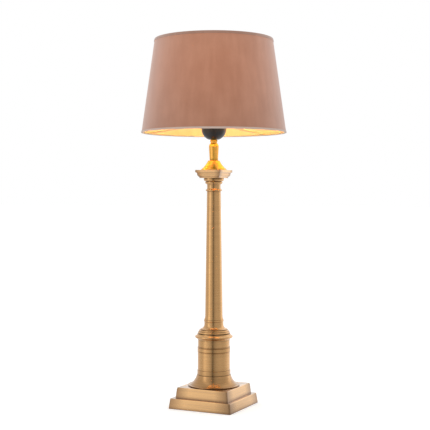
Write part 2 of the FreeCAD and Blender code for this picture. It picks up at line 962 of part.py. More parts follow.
def abacus_moulding():
    """One side of the abacus from the bottom up: half width, height and the turn that leads there."""
    foot = echinus_radius() + size("abacus_foot_step")
    ovolo = foot + size("abacus_ovolo_throw")
    fillet = ovolo + size("abacus_fillet_step")
    cove = fillet + size("abacus_cove_throw")
    edge = cove + size("abacus_edge_step")
    return [
        (foot, size("abacus_foot_rise"), 0),
        (ovolo, size("abacus_ovolo_top"), HOLLOW),
        (fillet, size("abacus_ovolo_top"), 0),
        (fillet, size("abacus_fillet_top"), 0),
        (cove, size("abacus_cove_top"), -HOLLOW),
        (edge, size("abacus_cove_top"), 0),
        (edge, size("abacus_rise"), 0),
    ]


def up_the_right(outline, moulding):
    """Takes an outline up the right side of the abacus."""
    for across, up, turn in moulding:
        outline.to(across, up, turn)
    return outline


def down_the_left(outline, moulding):
    """Takes an outline down the mirror image of that side."""
    turns = [turn for _, _, turn in moulding[1:]]
    outline.to(-moulding[-1][0], moulding[-1][1])
    for (across, up, _), turn in zip(reversed(moulding[:-1]), reversed(turns)):
        outline.to(-across, up, turn)
    return outline


def make_abacus(echinus):
    """Square moulded slab. One silhouette is drawn out along Y, then everything that stands outside
    the same silhouette seen along X is cut away, so the mouldings meet in true mitres."""
    abacus = new_body("capital_abacus")
    moulding = abacus_moulding()
    foot = moulding[0][0]
    rise = size("abacus_rise")
    beyond = moulding[-1][0] * 2
    face = down_the_left(up_the_right(Outline(foot, 0), moulding), moulding).to(-foot, 0)
    pad(abacus, face.draw(new_sketch(abacus, "XZ_Plane")), beyond, both_ways=True)
    right = up_the_right(Outline(foot, 0), moulding).to(beyond, rise).to(beyond, 0)
    left = down_the_left(Outline(-foot, 0).to(-beyond, 0).to(-beyond, rise), moulding)
    for waste in (right, left):
        pocket(abacus, waste.draw(new_sketch(abacus, "YZ_Plane")), both_ways=True)
    hole = draw_circle(new_sketch(abacus, "XY_Plane", rise), as_dim(0), as_dim(0), rod_hole())
    pocket(abacus, hole)
    stand(abacus, level_above(echinus, "echinus_rise"))
    return abacus


def make_bell(abacus):
    """Spun bell on the abacus, closed at the top."""
    wall = size("bell_wall")
    top = size("bell_top")
    rise = size("bell_rise")
    cove_top = rise - size("bell_rim")
    radius = abacus_moulding()[-1][0] - size("bell_set_in")
    outline = Outline(radius - wall, 0)
    outline.to(radius, 0)
    outline.to(radius, size("bell_lip"))
    outline.to(top, cove_top, -SLIGHT)
    outline.to(top, rise)
    outline.to(rod_hole(), rise)
    outline.to(rod_hole(), rise - wall)
    outline.to(top - wall, cove_top - wall)
    outline.close(SLIGHT)
    return turned_piece("capital_bell", level_above(abacus, "abacus_rise"), outline)


def make_vase(bell):
    """Slender vase: swells upward to a round shoulder and draws in to its neck."""
    neck_height = size("vase_rise") - size("vase_neck_straight")
    outline = Outline(rod_hole(), 0)
    outline.to(size("vase_foot"), 0)
    outline.to(size("vase_bottom"), size("vase_bottom_height"), HOLLOW)
    outline.to(size("vase_shoulder"), neck_height - size("vase_shoulder_rise"))
    outline.to(size("vase_neck"), neck_height, SWEEP)
    outline.to(size("vase_neck"), size("vase_rise"))
    outline.to(rod_hole(), size("vase_rise"))
    return turned_piece("holder_vase", level_above(bell, "bell_rise"), outline)


def make_vase_collar(vase):
    radius = size("vase_neck")
    low = (size("vase_collar_rise") - size("vase_collar_bead")) / 2
    outline = Outline(rod_hole(), 0)
    outline.to(radius, 0)
    outline.to(radius, low)
    outline.to(radius, low + size("vase_collar_bead"), QUARTER)
    outline.to(radius, size("vase_collar_rise"))
    outline.to(rod_hole(), size("vase_collar_rise"))
    return turned_piece("holder_collar", level_above(vase, "vase_rise"), outline)


def make_holder_cap(collar):
    """Bowl-shaped cap: the rod screws into its boss and its rim has a ledge for the insert."""
    radius = size("cap_radius")
    inner = radius - size("cap_wall")
    bore = size("rod_radius") + size("thread_gap")
    outline = Outline(bore, 0)
    outline.to(size("cap_foot"), 0)
    outline.to(radius, size("cap_bowl_rise"), ROUND)
    outline.to(radius, size("cap_rise"))
    outline.to(inner, size("cap_rise"))
    outline.to(inner, size("cap_ledge"))
    outline.to(size("cap_ledge_radius"), size("cap_ledge"))
    outline.to(size("cap_floor_radius"), size("cap_floor"), -SWEEP)
    outline.to(size("boss_radius"), size("cap_floor"))
    outline.to(size("boss_radius"), size("boss_rise"))
    outline.to(bore, size("boss_rise"))
    return turned_piece("holder_cap", level_above(collar, "vase_collar_rise"), outline)


def make_insert(cap):
    """Insert that carries the contacts: a flange on the cap's ledge and a cup round the screw shell."""
    flange = holder_rim()
    radius = barrel_bore() - size("insert_gap")
    floor = size("insert_floor")
    cup = shell_bore() + size("shell_wall") + size("thread_gap")
    outline = Outline(0, 0)
    outline.to(flange, 0)
    outline.to(flange, size("insert_flange"))
    outline.to(radius, size("insert_flange"))
    outline.to(radius, size("insert_rise"))
    outline.to(cup, size("insert_rise"))
    outline.to(cup, floor)
    outline.to(0, floor)
    insert = turned_piece("holder_insert", level_of(cap) + size("cap_ledge"), outline)
    holes = new_sketch(insert, "XY_Plane")
    reach = size("terminal_shank") + size("thread_gap")
    for side in (size("terminal_offset"), -size("terminal_offset")):
        draw_circle(holes, side, as_dim(0), reach)
    pocket(insert, holes, size("terminal_depth"), backwards=True)
    return insert


def make_terminals(insert):
    """The two terminal screws in the insert's underside: head below, shank in its hole."""
    screws = []
    for name, side in (("Left", -size("terminal_offset")), ("Right", size("terminal_offset"))):
        head = doc.addObject("Part::Cylinder", f"Terminal{name}Head")
        head.setExpression("Radius", size("terminal_head").formula)
        head.setExpression("Height", size("terminal_head_rise").formula)
        head.setExpression(".Placement.Base.z", (-size("terminal_head_rise")).formula)
        shank = doc.addObject("Part::Cylinder", f"Terminal{name}Shank")
        shank.setExpression("Radius", size("terminal_shank").formula)
        shank.setExpression("Height", size("terminal_depth").formula)
        for part in (head, shank):
            part.setExpression(".Placement.Base.x", side.formula)
        screw = doc.addObject("Part::Fuse", f"Terminal{name}")
        screw.Base = head
        screw.Tool = shank
        screws.append(screw)
    pair = doc.addObject("Part::Compound", "TerminalScrews")
    pair.Links = screws
    stand(pair, level_of(insert))
    return keep(pair, "terminal_screws")


def make_barrel(cap):
    """Barrel that screws into the cap: a flange for the shade carrier, then the long thread."""
    radius = size("barrel_radius")
    inner = barrel_bore()
    sunk = size("cap_ledge") + size("insert_flange") - size("cap_rise")
    rim = holder_rim()
    outline = Outline(inner, sunk)
    outline.to(rim, sunk)
    outline.to(rim, 0)
    outline.to(size("cap_radius"), 0)
    outline.to(size("cap_radius"), size("barrel_flange"))
    outline.to(radius, size("barrel_flange"))
    outline.to(radius, size("barrel_rise"))
    outline.to(inner, size("barrel_rise"))
    return turned_piece("holder_barrel", level_above(cap, "cap_rise"), outline)


def make_screw_shell(insert):
    """Thin brass shell that the bulb screws into, turned in at the bottom."""
    bore = shell_bore()
    wall = size("shell_wall")
    outline = Outline(size("shell_lip_bore"), 0)
    outline.to(bore + wall, 0)
    outline.to(bore + wall, size("shell_rise"))
    outline.to(bore, size("shell_rise"))
    outline.to(bore, wall)
    outline.to(size("shell_lip_bore"), wall)
    return turned_piece("screw_shell", level_above(insert, "insert_floor"), outline)


def make_contact(insert):
    """Sprung tongue under the bulb: a flat foot, a rise to the middle and a turned-down tip."""
    reach = size("shell_lip_bore") - size("contact_clear")
    thick = size("contact_thick")
    flat = size("contact_flat")
    knee = size("contact_knee")
    lift = size("contact_lift")
    tip = lift - size("contact_drop")
    contact = new_body("centre_contact")
    strip = Outline(-reach, 0)
    strip.to(-knee, 0)
    strip.to(-flat, lift)
    strip.to(flat, lift)
    strip.to(knee, tip)
    strip.to(knee, tip + thick)
    strip.to(flat, lift + thick)
    strip.to(-flat, lift + thick)
    strip.to(-knee, thick)
    strip.to(-reach, thick)
    sketch = strip.draw(new_sketch(contact, "XZ_Plane"))
    pad(contact, sketch, size("contact_width"), both_ways=True)
    stand(contact, level_above(insert, "insert_floor"))
    return contact


def make_bulb_tip(contact):
    level = level_of(contact) + size("contact_lift") + size("contact_thick") + size("contact_gap")
    outline = Outline(0, 0)
    outline.to(size("tip_radius") - size("tip_rise") / 2, 0)
    outline.to(size("tip_radius"), size("tip_rise"), HOLLOW)
    outline.to(0, size("tip_rise"))
    return turned_piece("bulb_tip", level, outline)


def make_bulb_insulator(tip):
    outline = Outline(0, 0)
    outline.to(size("tip_radius"), 0)
    outline.to(size("screw_radius") - size("screw_chamfer"), size("insulator_rise"))
    outline.to(0, size("insulator_rise"))
    return turned_piece("bulb_insulator", level_above(tip, "tip_rise"), outline)


def make_bulb_cap(insulator):
    """Thin screw cap, open at the top where the glass is cemented in."""
    radius = size("screw_radius")
    chamfer = size("screw_chamfer")
    wall = size("screw_wall")
    rise = size("screw_rise")
    outline = Outline(0, 0)
    outline.to(radius - chamfer, 0)
    outline.to(radius, chamfer)
    outline.to(radius, rise)
    outline.to(radius - wall, rise)
    outline.to(radius - wall, chamfer + wall / 2)
    outline.to(radius - chamfer - wall / 2, wall)
    outline.to(0, wall)
    return turned_piece("bulb_cap", level_above(insulator, "insulator_rise"), outline)


def globe_side(outline, neck, radius, rim, centre, upward):
    """Adds the neck and the ball of the glass, going up its outside or down its inside."""
    tangent = math.radians(SHOULDER)
    across = radius * math.cos(tangent)
    up = centre - radius * math.sin(tangent)
    if upward:
        outline.to(neck, rim)
        outline.to(across, up, -SHOULDER)
        outline.to(0, centre + radius, QUARTER + SHOULDER)
    else:
        outline.to(0, centre + radius)
        outline.to(across, up, -QUARTER - SHOULDER)
        outline.to(neck, rim, SHOULDER)


def make_globe(cap, tip):
    """Opal glass: a ball that draws in to a neck, sealed and cemented into the cap."""
    wall = size("globe_wall")
    radius = size("globe_radius")
    neck = size("screw_radius") - size("screw_wall") - size("thread_gap")
    level = level_of(cap) + size("screw_rise") - size("globe_seat")
    rim = size("globe_seat")
    centre = level_of(tip) + size("bulb_length") - radius - level
    outline = Outline(0, 0)
    outline.to(neck, 0)
    globe_side(outline, neck, radius, rim, centre, True)
    globe_side(outline, neck - wall, radius - wall, rim, centre, False)
    outline.to(neck - wall, wall)
    outline.to(0, wall)
    return turned_piece("bulb_globe", level, outline)


def carrier_level(barrel):
    return level_of(barrel) + size("barrel_flange")


def make_ring_nut(barrel):
    """Ring nut with grip notches that clamps the shade carrier down on the barrel's flange."""
    bore = ring_bore()
    hub = ring_hub()
    rise = size("ring_rise")
    thick = size("ring_flange_thick")
    outline = Outline(bore, 0)
    outline.to(ring_rim(), 0)
    outline.to(ring_rim(), thick)
    outline.to(hub, thick)
    outline.to(hub, rise)
    outline.to(bore, rise)
    level = carrier_level(barrel) + size("plate_thick") + size("ring_lift")
    ring = turned_piece("shade_ring_nut", level, outline)
    notch = draw_circle(new_sketch(ring, "XY_Plane", thick), hub, as_dim(0), size("ring_notch"))
    cut = pocket(ring, notch, backwards=True)
    around(ring, cut, size("ring_notches"))
    return ring


def shade_level(barrel):
    """The lower edge of the shade's cover, which stands on the binding."""
    return carrier_level(barrel) - size("shade_drop") + size("trim_thick")


def shade_slope():
    return (size("shade_bottom") - size("shade_top")) / size("shade_rise")


def cover_radius(height):
    """The outside of the shade's cover at a height above its own lower edge."""
    return size("shade_bottom") - shade_slope() * height


def wire_offset():
    """How far the middle of an edge wire lies inside the cover's outer face."""
    return size("cover_thick") + size("liner_thick") + size("wire_radius") + size("thread_gap")


def draw_arm_path(sketch, start, corner, bend, end):
    """The arm's middle line: level out of the plate, a tangent bend, then straight to the wire."""
    across = end[0].value - corner.value
    down = end[1].value - start[1].value + bend.value
    lean = math.asin(bend.value / math.hypot(across, down)) - math.atan2(down, across)
    middle = FreeCAD.Vector(corner.value, start[1].value - bend.value, 0)
    leave = middle + FreeCAD.Vector(math.sin(lean), math.cos(lean), 0) * bend.value
    first = FreeCAD.Vector(start[0].value, start[1].value, 0)
    bend_start = FreeCAD.Vector(corner.value, start[1].value, 0)
    last = FreeCAD.Vector(end[0].value, end[1].value, 0)
    upright = math.pi / 2
    sketch.addGeometry(Part.LineSegment(first, bend_start), False)
    circle = Part.Circle(middle, AXIS, bend.value)
    sketch.addGeometry(Part.ArcOfCircle(circle, upright - lean, upright), False)
    sketch.addGeometry(Part.LineSegment(leave, last), False)
    sketch.addConstraint(Sketcher.Constraint("Horizontal", 0))
    sketch.addConstraint(Sketcher.Constraint("Tangent", 0, 2, 1, 2))
    sketch.addConstraint(Sketcher.Constraint("Tangent", 1, 1, 2, 1))
    bind(sketch, "DistanceX", -1, 1, 0, 1, to=start[0])
    bind(sketch, "DistanceY", -1, 1, 0, 1, to=start[1])
    bind(sketch, "DistanceX", -1, 1, 0, 2, to=corner)
    bind(sketch, "Radius", 1, to=bend)
    bind(sketch, "DistanceX", -1, 1, 2, 2, to=end[0])
    bind(sketch, "DistanceY", -1, 1, 2, 2, to=end[1])
    return sketch


def make_carrier(barrel):
    """Shade carrier: a plate round the barrel and three bent arms, hollowed to fit the edge wire."""
    carrier = new_body("shade_carrier")
    bore = size("barrel_radius") + size("plate_gap")
    radius = ring_rim() + size("plate_margin")
    thick = size("plate_thick")
    plate = Outline(bore, 0).to(radius, 0).to(radius, thick).to(bore, thick)
    revolve(carrier, plate.draw(new_sketch(carrier, "XZ_Plane")))
    wire = size("wire_radius")
    wire_height = size("trim_thick") + wire - size("shade_drop")
    wire_reach = cover_radius(wire) - wire_offset()
    start = radius - size("arm_inset")
    middle = thick / 2
    path = new_sketch(carrier, "XZ_Plane")
    corner = start + size("arm_straight")
    arm_end = size("trim_thick") + size("arm_radius") + size("thread_gap") - size("shade_drop")
    draw_arm_path(path, (start, middle), corner, size("arm_bend"), (wire_reach, arm_end))
    section = new_sketch(carrier, "YZ_Plane", start)
    draw_circle(section, as_dim(0), middle, size("arm_radius"))
    arm = carrier.newObject("PartDesign::AdditivePipe", "ShadeCarrierArm")
    arm.Profile = section
    arm.Spine = (path, ["Edge1", "Edge2", "Edge3"])
    doc.recompute()
    around(carrier, arm, size("arm_count"))
    doc.recompute()
    seat = carrier.newObject("PartDesign::Groove", "ShadeCarrierSeat")
    seat.Profile = draw_circle(new_sketch(carrier, "XZ_Plane"), wire_reach, wire_height, wire)
    seat.ReferenceAxis = (seat.Profile[0], ["V_Axis"])
    seat.Angle = 360
    stand(carrier, carrier_level(barrel))
    turn = FreeCAD.Rotation(AXIS, SIZES["arm_angle"])
    carrier.Placement = FreeCAD.Placement(carrier.Placement.Base, turn)
    carrier.setExpression(".Placement.Rotation.Angle", size("arm_angle").formula)
    return carrier


def make_edge_wire(label, level, height):
    """Round wire that stiffens an edge of the shade, at a height above the cover's lower edge."""
    ring = doc.addObject("Part::Torus", new_name(label))
    ring.setExpression("Radius1", (cover_radius(height) - wire_offset()).formula)
    ring.setExpression("Radius2", size("wire_radius").formula)
    stand(ring, level + height)
    return keep(ring, label)


def make_cover(level):
    radii = size("shade_bottom"), size("shade_top")
    return tube("shade_cover", level, *radii, size("cover_thick"), size("shade_rise"))


def make_liner(level):
    """Stiff lining laminated to the inside of the cover."""
    inset = size("cover_thick")
    radii = size("shade_bottom") - inset, size("shade_top") - inset
    return tube("shade_liner", level, *radii, size("liner_thick"), size("shade_rise"))


def make_top_trim(level):
    """Tape rolled over the top edge and its wire, with a leg down the outside and the inside."""
    depth = size("top_trim_depth")
    thick = size("trim_thick")
    rise = size("shade_rise")
    slope = shade_slope()
    outer = size("shade_top")
    inner = outer - wire_offset() - size("wire_radius") - size("thread_gap")
    out = slope * depth
    outline = Outline(outer + out, -depth)
    outline.to(outer + out + thick, -depth)
    outline.to(outer + thick, 0)
    outline.to(outer, thick, QUARTER)
    outline.to(inner, thick)
    outline.to(inner - thick, 0, QUARTER)
    outline.to(inner - thick + out, -depth)
    outline.to(inner + out, -depth)
    outline.to(inner, 0)
    outline.to(outer, 0)
    return turned_piece("shade_top_trim", level + rise, outline)


def make_bottom_trim(level):
    """Pale binding under the bottom edge, with a short leg up the outside."""
    depth = size("bottom_trim_depth")
    thick = size("trim_thick")
    outer = size("shade_bottom")
    inner = outer - wire_offset() - size("wire_radius")
    lean = shade_slope() * depth
    outline = Outline(inner, 0)
    outline.to(outer, 0)
    outline.to(outer + thick, thick, QUARTER)
    outline.to(outer + thick - lean, thick + depth)
    outline.to(outer - lean, thick + depth)
    outline.to(outer, thick)
    outline.to(inner, thick)
    return turned_piece("shade_bottom_trim", level - thick, outline)


def make_stand():
    """Everything from the felt to the lampholder's collar, each piece on the one below."""
    make_felt()
    lower = make_lower_plinth()
    make_inlet_bush()
    nut = make_nut(make_washer(make_ballast()))
    drum = make_drum(make_foot_ring(make_skirt(make_upper_plinth(lower))))
    cornice = make_cornice(make_frieze(make_band(drum)))
    shaft = make_shaft(make_collar(make_scotia(make_torus(cornice))))
    capital = make_abacus(make_echinus(make_neck(make_astragal(shaft))))
    collar = make_vase_collar(make_vase(make_bell(capital)))
    return nut, collar


def make_holder(nut, collar):
    cap = make_holder_cap(collar)
    make_rod(nut, cap)
    insert = make_insert(cap)
    make_terminals(insert)
    make_screw_shell(insert)
    return insert, make_barrel(cap)


def make_bulb(insert):
    tip = make_bulb_tip(make_contact(insert))
    cap = make_bulb_cap(make_bulb_insulator(tip))
    make_globe(cap, tip)


def make_shade(barrel):
    level = shade_level(barrel)
    wire = size("wire_radius")
    make_ring_nut(barrel)
    make_carrier(barrel)
    make_edge_wire("shade_bottom_wire", level, wire)
    make_edge_wire("shade_top_wire", level, size("shade_rise") - wire)
    make_cover(level)
    make_liner(level)
    make_top_trim(level)
    make_bottom_trim(level)


def check_document():
    """Stops the build if any object failed or any sub-part isn't a sound solid."""
    for thing in doc.Objects:
        if "Invalid" in thing.State or "Error" in thing.State:
            raise RuntimeError(f"{thing.Label} failed: {thing.State}")
    for piece in pieces:
        if piece.Shape.isNull() or not piece.Shape.isValid():
            raise RuntimeError(f"{piece.Label} has no sound shape")
        if not piece.Shape.Solids:
            raise RuntimeError(f"{piece.Label} holds no solid")


def main():
    write_sheet()
    nut, collar = make_stand()
    insert, barrel = make_holder(nut, collar)
    make_bulb(insert)
    make_shade(barrel)
    doc.recompute()
    check_document()
    os.makedirs("parts", exist_ok=True)
    for piece in pieces:
        piece.Shape.exportStep(os.path.join("parts", f"{piece.Label}.step"))
    print(f"{len(pieces)} sub-parts written")


main()
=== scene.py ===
"""The looks of a column table lamp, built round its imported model.

The stand is brass with a brushed antique finish: two pressed plinth blocks, a spun skirt, a turned
pedestal, a tapered column and a moulded capital. Above them come a black lampholder with an opal
bulb, and a velvet drum shade with a gold lining on a three-armed carrier. The lamp is lit.

Sizes are in millimetres, heights are measured from the foot of each piece's own node, and +Y is
the back of the lamp.
"""
import json
import logging
import math
from collections.abc import Sequence
from dataclasses import dataclass
from enum import Enum

import bmesh
import bpy
from mathutils import Matrix, Vector


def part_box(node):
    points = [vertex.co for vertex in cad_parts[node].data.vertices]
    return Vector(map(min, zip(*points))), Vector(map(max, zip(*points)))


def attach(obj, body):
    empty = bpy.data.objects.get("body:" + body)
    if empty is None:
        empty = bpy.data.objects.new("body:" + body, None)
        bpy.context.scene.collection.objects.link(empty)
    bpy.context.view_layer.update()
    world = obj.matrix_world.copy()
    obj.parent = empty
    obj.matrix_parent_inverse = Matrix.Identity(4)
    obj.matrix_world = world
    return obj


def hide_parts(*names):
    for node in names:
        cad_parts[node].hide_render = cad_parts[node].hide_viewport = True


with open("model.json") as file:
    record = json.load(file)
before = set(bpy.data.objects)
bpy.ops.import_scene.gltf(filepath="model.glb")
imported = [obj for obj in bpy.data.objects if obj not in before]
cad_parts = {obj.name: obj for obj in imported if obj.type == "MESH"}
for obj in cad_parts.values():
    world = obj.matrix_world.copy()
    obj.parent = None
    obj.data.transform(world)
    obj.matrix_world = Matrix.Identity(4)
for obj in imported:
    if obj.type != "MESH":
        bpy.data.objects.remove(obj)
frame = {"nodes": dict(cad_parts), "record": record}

MM = 0.001
ROD_HOLE = 5.2
SPIGOT_GAP = 0.1
QUARTER = 90.0
DEEP = 140.0
ROUND = 70.0
HOLLOW = 60.0
SWEEP = 48.0
SLIGHT = 24.0
ARC_STEP = 11.0
ROUND_STEPS = 128
SHADE_STEPS = 192
AXIS = Vector((0.0, 0.0, 1.0))
TOUCH = 1e-6
UPRIGHT = 0.9
SLOPING = 0.5
CREASE = math.radians(35.0)
THREAD_STEPS = 64
SQUARE_NODES = ("lower_plinth", "upper_plinth", "capital_abacus")
SLOT_OF = {part["node"]: part["material_slot"] for part in frame["record"]["subparts"]}

Color = tuple[float, float, float]

log = logging.getLogger("column_lamp")


class Body(Enum):
    """The bodies that modelled pieces ride on."""

    STAND = "stand"
    SHADE = "shade"


class Grain(Enum):
    """How the brush ran over a brass piece."""

    TURNED = "turned"
    SQUARE = "square"


# Shader graphs


class Graph:
    """A node tree that is filled from the output backwards."""

    def __init__(self, tree: bpy.types.NodeTree) -> None:
        """Empties the tree."""
        self.tree = tree
        tree.nodes.clear()

    def add(self, kind: str, **values: object) -> bpy.types.Node:
        """Adds a node.

        Args:
            kind: The node's type name.
            values: Node properties to set.

        Returns:
            The new node.
        """
        node = self.tree.nodes.new(kind)
        for name, value in values.items():
            setattr(node, name, value)
        return node

    def feed(self, socket: bpy.types.NodeSocket, source: object) -> None:
        """Links a socket to another socket, or sets it to a constant."""
        if isinstance(source, bpy.types.NodeSocket):
            self.tree.links.new(source, socket)
        else:
            socket.default_value = source

    def math(self, operation: str, *sources: object) -> bpy.types.NodeSocket:
        """Adds a Math node and returns its result."""
        node = self.add("ShaderNodeMath", operation=operation)
        for socket, source in zip(node.inputs, sources):
            self.feed(socket, source)
        return node.outputs[0]

    def weigh(self, first: object, second: object, share: float) -> bpy.types.NodeSocket:
        """Adds two values, the first by its share and the second by the rest."""
        rest = round(1.0 - share, 6)
        return self.math("ADD", self.math("MULTIPLY", first, share),
                         self.math("MULTIPLY", second, rest))

    def vector(self, operation: str, *sources: object) -> bpy.types.Node:
        """Adds a Vector Math node and returns it."""
        node = self.add("ShaderNodeVectorMath", operation=operation)
        for socket, source in zip(node.inputs, sources):
            self.feed(socket, source)
        return node

    def combine(self, x: object, y: object, z: object) -> bpy.types.NodeSocket:
        """Adds a Combine XYZ node and returns its vector."""
        node = self.add("ShaderNodeCombineXYZ")
        for socket, source in zip(node.inputs, (x, y, z)):
            self.feed(socket, source)
        return node.outputs[0]

    def noise(self, vector: object, scale: float, detail: float = 2.0) -> bpy.types.NodeSocket:
        """Adds a Noise Texture.

        Args:
            vector: What it reads.
            scale: Cells per unit of the vector.
            detail: Octaves.

        Returns:
            Its grey value, from 0 to 1.
        """
        node = self.add("ShaderNodeTexNoise")
        self.feed(node.inputs["Vector"], vector)
        node.inputs["Scale"].default_value = scale
        node.inputs["Detail"].default_value = detail
        return node.outputs["Fac"]

    def spread(self, value: object, low: float, high: float, to: tuple[float, float]) -> object:
        """Maps a value from low..high to another range, and clamps it there."""
        node = self.add("ShaderNodeMapRange")
        for name, source in zip(("Value", "From Min", "From Max", "To Min", "To Max"),
                                (value, low, high, *to)):
            self.feed(node.inputs[name], source)
        return node.outputs[0]

    def mix(self, factor: object, first: object, second: object) -> bpy.types.NodeSocket:
        """Mixes two colours and returns the result."""
        node = self.add("ShaderNodeMix", data_type="RGBA")
        sources = (factor, opaque(first), opaque(second))
        for socket, source in zip((node.inputs[0], node.inputs[6], node.inputs[7]), sources):
            self.feed(socket, source)
        return node.outputs[2]

    def bump(self, height: object, strength: float, depth: float) -> bpy.types.NodeSocket:
        """Adds a Bump node for relief of a depth in metres, and returns its normal."""
        node = self.add("ShaderNodeBump")
        node.inputs["Strength"].default_value = strength
        node.inputs["Distance"].default_value = depth
        self.feed(node.inputs["Height"], height)
        return node.outputs[0]


def opaque(color: object) -> object:
    """Gives a plain colour an alpha of 1, and leaves a socket as it is."""
    return (*color, 1.0) if isinstance(color, tuple) and len(color) == 3 else color


class Surface(Graph):
    """A material with one Principled shader."""

    def __init__(self, name: str) -> None:
        """Starts the material.

        Args:
            name: The material's name.
        """
        self.material = bpy.data.materials.new(name)
        self.material.use_nodes = True
        super().__init__(self.material.node_tree)
        self.shader = self.add("ShaderNodeBsdfPrincipled")
        self.output = self.add("ShaderNodeOutputMaterial")
        self.tree.links.new(self.shader.outputs[0], self.output.inputs["Surface"])
        self.place = self.add("ShaderNodeTexCoord").outputs["Object"]

    def set(self, **values: object) -> None:
        """Sets the shader's sockets, named with underscores for spaces."""
        for name, value in values.items():
            self.feed(self.shader.inputs[name.replace("_", " ")], opaque(value))

    def axes(self) -> Sequence[bpy.types.NodeSocket]:
        """The X, Y and Z of the surface's own place."""
        node = self.add("ShaderNodeSeparateXYZ")
        self.feed(node.inputs[0], self.place)
        return node.outputs

    def stretched(self, along: Color) -> bpy.types.NodeSocket:
        """The place with each axis scaled by its own factor."""
        return self.vector("MULTIPLY", self.place, along).outputs[0]


# Finishes


@dataclass(frozen=True)
class AntiqueBrass:
    """Brushed brass under an antique lacquer, with patina and painted shade in its crevices, and
    painted shade towards the foot of turned pieces and the upright corners of square ones.
    """

    grain: Grain = Grain.TURNED
    bright: Color = (0.76, 0.435, 0.180)
    dull: Color = (0.63, 0.350, 0.140)
    # Colour of patina in crevices, also used as painted shade there.
    patina_and_shade: Color = (0.16, 0.066, 0.016)
    roughness: tuple[float, float] = (0.19, 0.30)
    lacquer: float = 0.35
    lacquer_roughness: float = 0.24
    lacquer_ior: float = 1.5
    wear_from: tuple[float, float] = (0.36, 0.60)
    open_from: tuple[float, float] = (0.50, 0.96)
    anisotropic: float = 0.55
    hairline_share: float = 0.7
    slant: float = 0.7
    hairlines_per_metre: float = 2600.0
    bands_per_metre: float = 150.0
    sweep_per_metre: float = 9.0
    crevice: float = 0.008
    # Painted shade on square pieces, from mid-side to the upright corners.
    corner_shade: tuple[float, float] = (1.0, 0.25)
    # Heights over which turned pieces come out of a painted shade at their foot.
    foot: tuple[float, float] = (0.046, 0.084)
    foot_painted_shade: tuple[float, float] = (0.52, 1.0)
    # Strength of a painted glow of lamplight on the brass.
    lamplight: float = 0.0
    lamplight_color: Color = (1.0, 0.60, 0.02)
    name: str = "antique_brass"

    def build(self) -> bpy.types.Material:
        """Makes the material."""
        surface = Surface(f"{self.name}_{self.grain.value}")
        x, y, z = surface.axes()
        reach = self.reach(surface, x, y)
        across = surface.math("ADD", z, surface.math("MULTIPLY", reach, self.slant))
        fine = self.streak(surface, across, x, y, self.hairlines_per_metre)
        broad = self.streak(surface, across, x, y, self.bands_per_metre)
        hairlines = surface.noise(fine, 1.0, 3.0)
        bands = surface.noise(broad, 1.0, 2.0)
        wear = surface.weigh(hairlines, bands, self.hairline_share)
        worn = surface.spread(wear, *self.wear_from, (0.0, 1.0))
        tone = surface.mix(worn, self.dull, self.bright)
        # Crevices darken to the patina colour: partly real patina, partly painted shade where shadow
        # falls between the steps.
        open_sky = surface.add("ShaderNodeAmbientOcclusion", samples=8)
        open_sky.inputs["Distance"].default_value = self.crevice
        clean_and_lit = surface.spread(open_sky.outputs["AO"], *self.open_from, (0.0, 1.0))
        if self.grain is Grain.SQUARE:
            # Painted shade: square pieces darken towards their upright corners.
            painted_falloff = self.ends(surface, x, y)
        else:
            # Painted shade: turned pieces darken towards their foot.
            painted_falloff = surface.spread(z, *self.foot, self.foot_painted_shade)
        clean_and_lit = surface.math("MULTIPLY", clean_and_lit, painted_falloff)
        surface.set(
            Base_Color=surface.mix(clean_and_lit, self.patina_and_shade, tone),
            Metallic=1.0,
            Roughness=surface.spread(wear, 0.35, 0.65, self.roughness[::-1]),
            Coat_Weight=self.lacquer,
            Coat_Roughness=self.lacquer_roughness,
            Coat_IOR=self.lacquer_ior,
            Anisotropic=self.anisotropic,
            Anisotropic_Rotation=0.25,
            Emission_Color=self.lamplight_color,
            Emission_Strength=self.lamplight,
            Tangent=self.tangent(surface, x, y),
            Normal=surface.bump(hairlines, 0.10, 0.00004),
        )
        return surface.material

    def reach(self, surface: Surface, x: object, y: object) -> bpy.types.NodeSocket:
        """How far a point lies from the axis, round for turned pieces and square for the plinth."""
        if self.grain is Grain.TURNED:
            squares = surface.math("ADD", surface.math("MULTIPLY", x, x),
                                   surface.math("MULTIPLY", y, y))
            return surface.math("SQRT", squares)
        return surface.math("MAXIMUM", surface.math("ABSOLUTE", x), surface.math("ABSOLUTE", y))

    def ends(self, surface: Surface, x: object, y: object) -> bpy.types.NodeSocket:
        """Painted shade that darkens a straight side towards its upright corners."""
        wide = surface.math("ABSOLUTE", x)
        deep = surface.math("ABSOLUTE", y)
        along = surface.math("DIVIDE", surface.math("MINIMUM", wide, deep),
                             surface.math("MAXIMUM", wide, deep))
        return surface.spread(along, 0.50, 1.0, self.corner_shade)

    def streak(self, surface: Surface, across: object, x: object, y: object,
               rate: float) -> bpy.types.NodeSocket:
        """Coordinates that run fast across the brush lines and slowly along them."""
        return surface.combine(
            surface.math("MULTIPLY", across, rate),
            surface.math("MULTIPLY", x, self.sweep_per_metre),
            surface.math("MULTIPLY", y, self.sweep_per_metre),
        )

    def tangent(self, surface: Surface, x: object, y: object) -> bpy.types.NodeSocket:
        """The direction in which the brush ran."""
        if self.grain is Grain.TURNED:
            return surface.combine(surface.math("MULTIPLY", y, -1.0), x, 0.0)
        facing = surface.add("ShaderNodeNewGeometry").outputs["Normal"]
        level = surface.vector("CROSS_PRODUCT", (0.0, 0.0, 1.0), facing).outputs[0]
        return surface.vector("ADD", level, (0.02, 0.013, 0.0)).outputs[0]


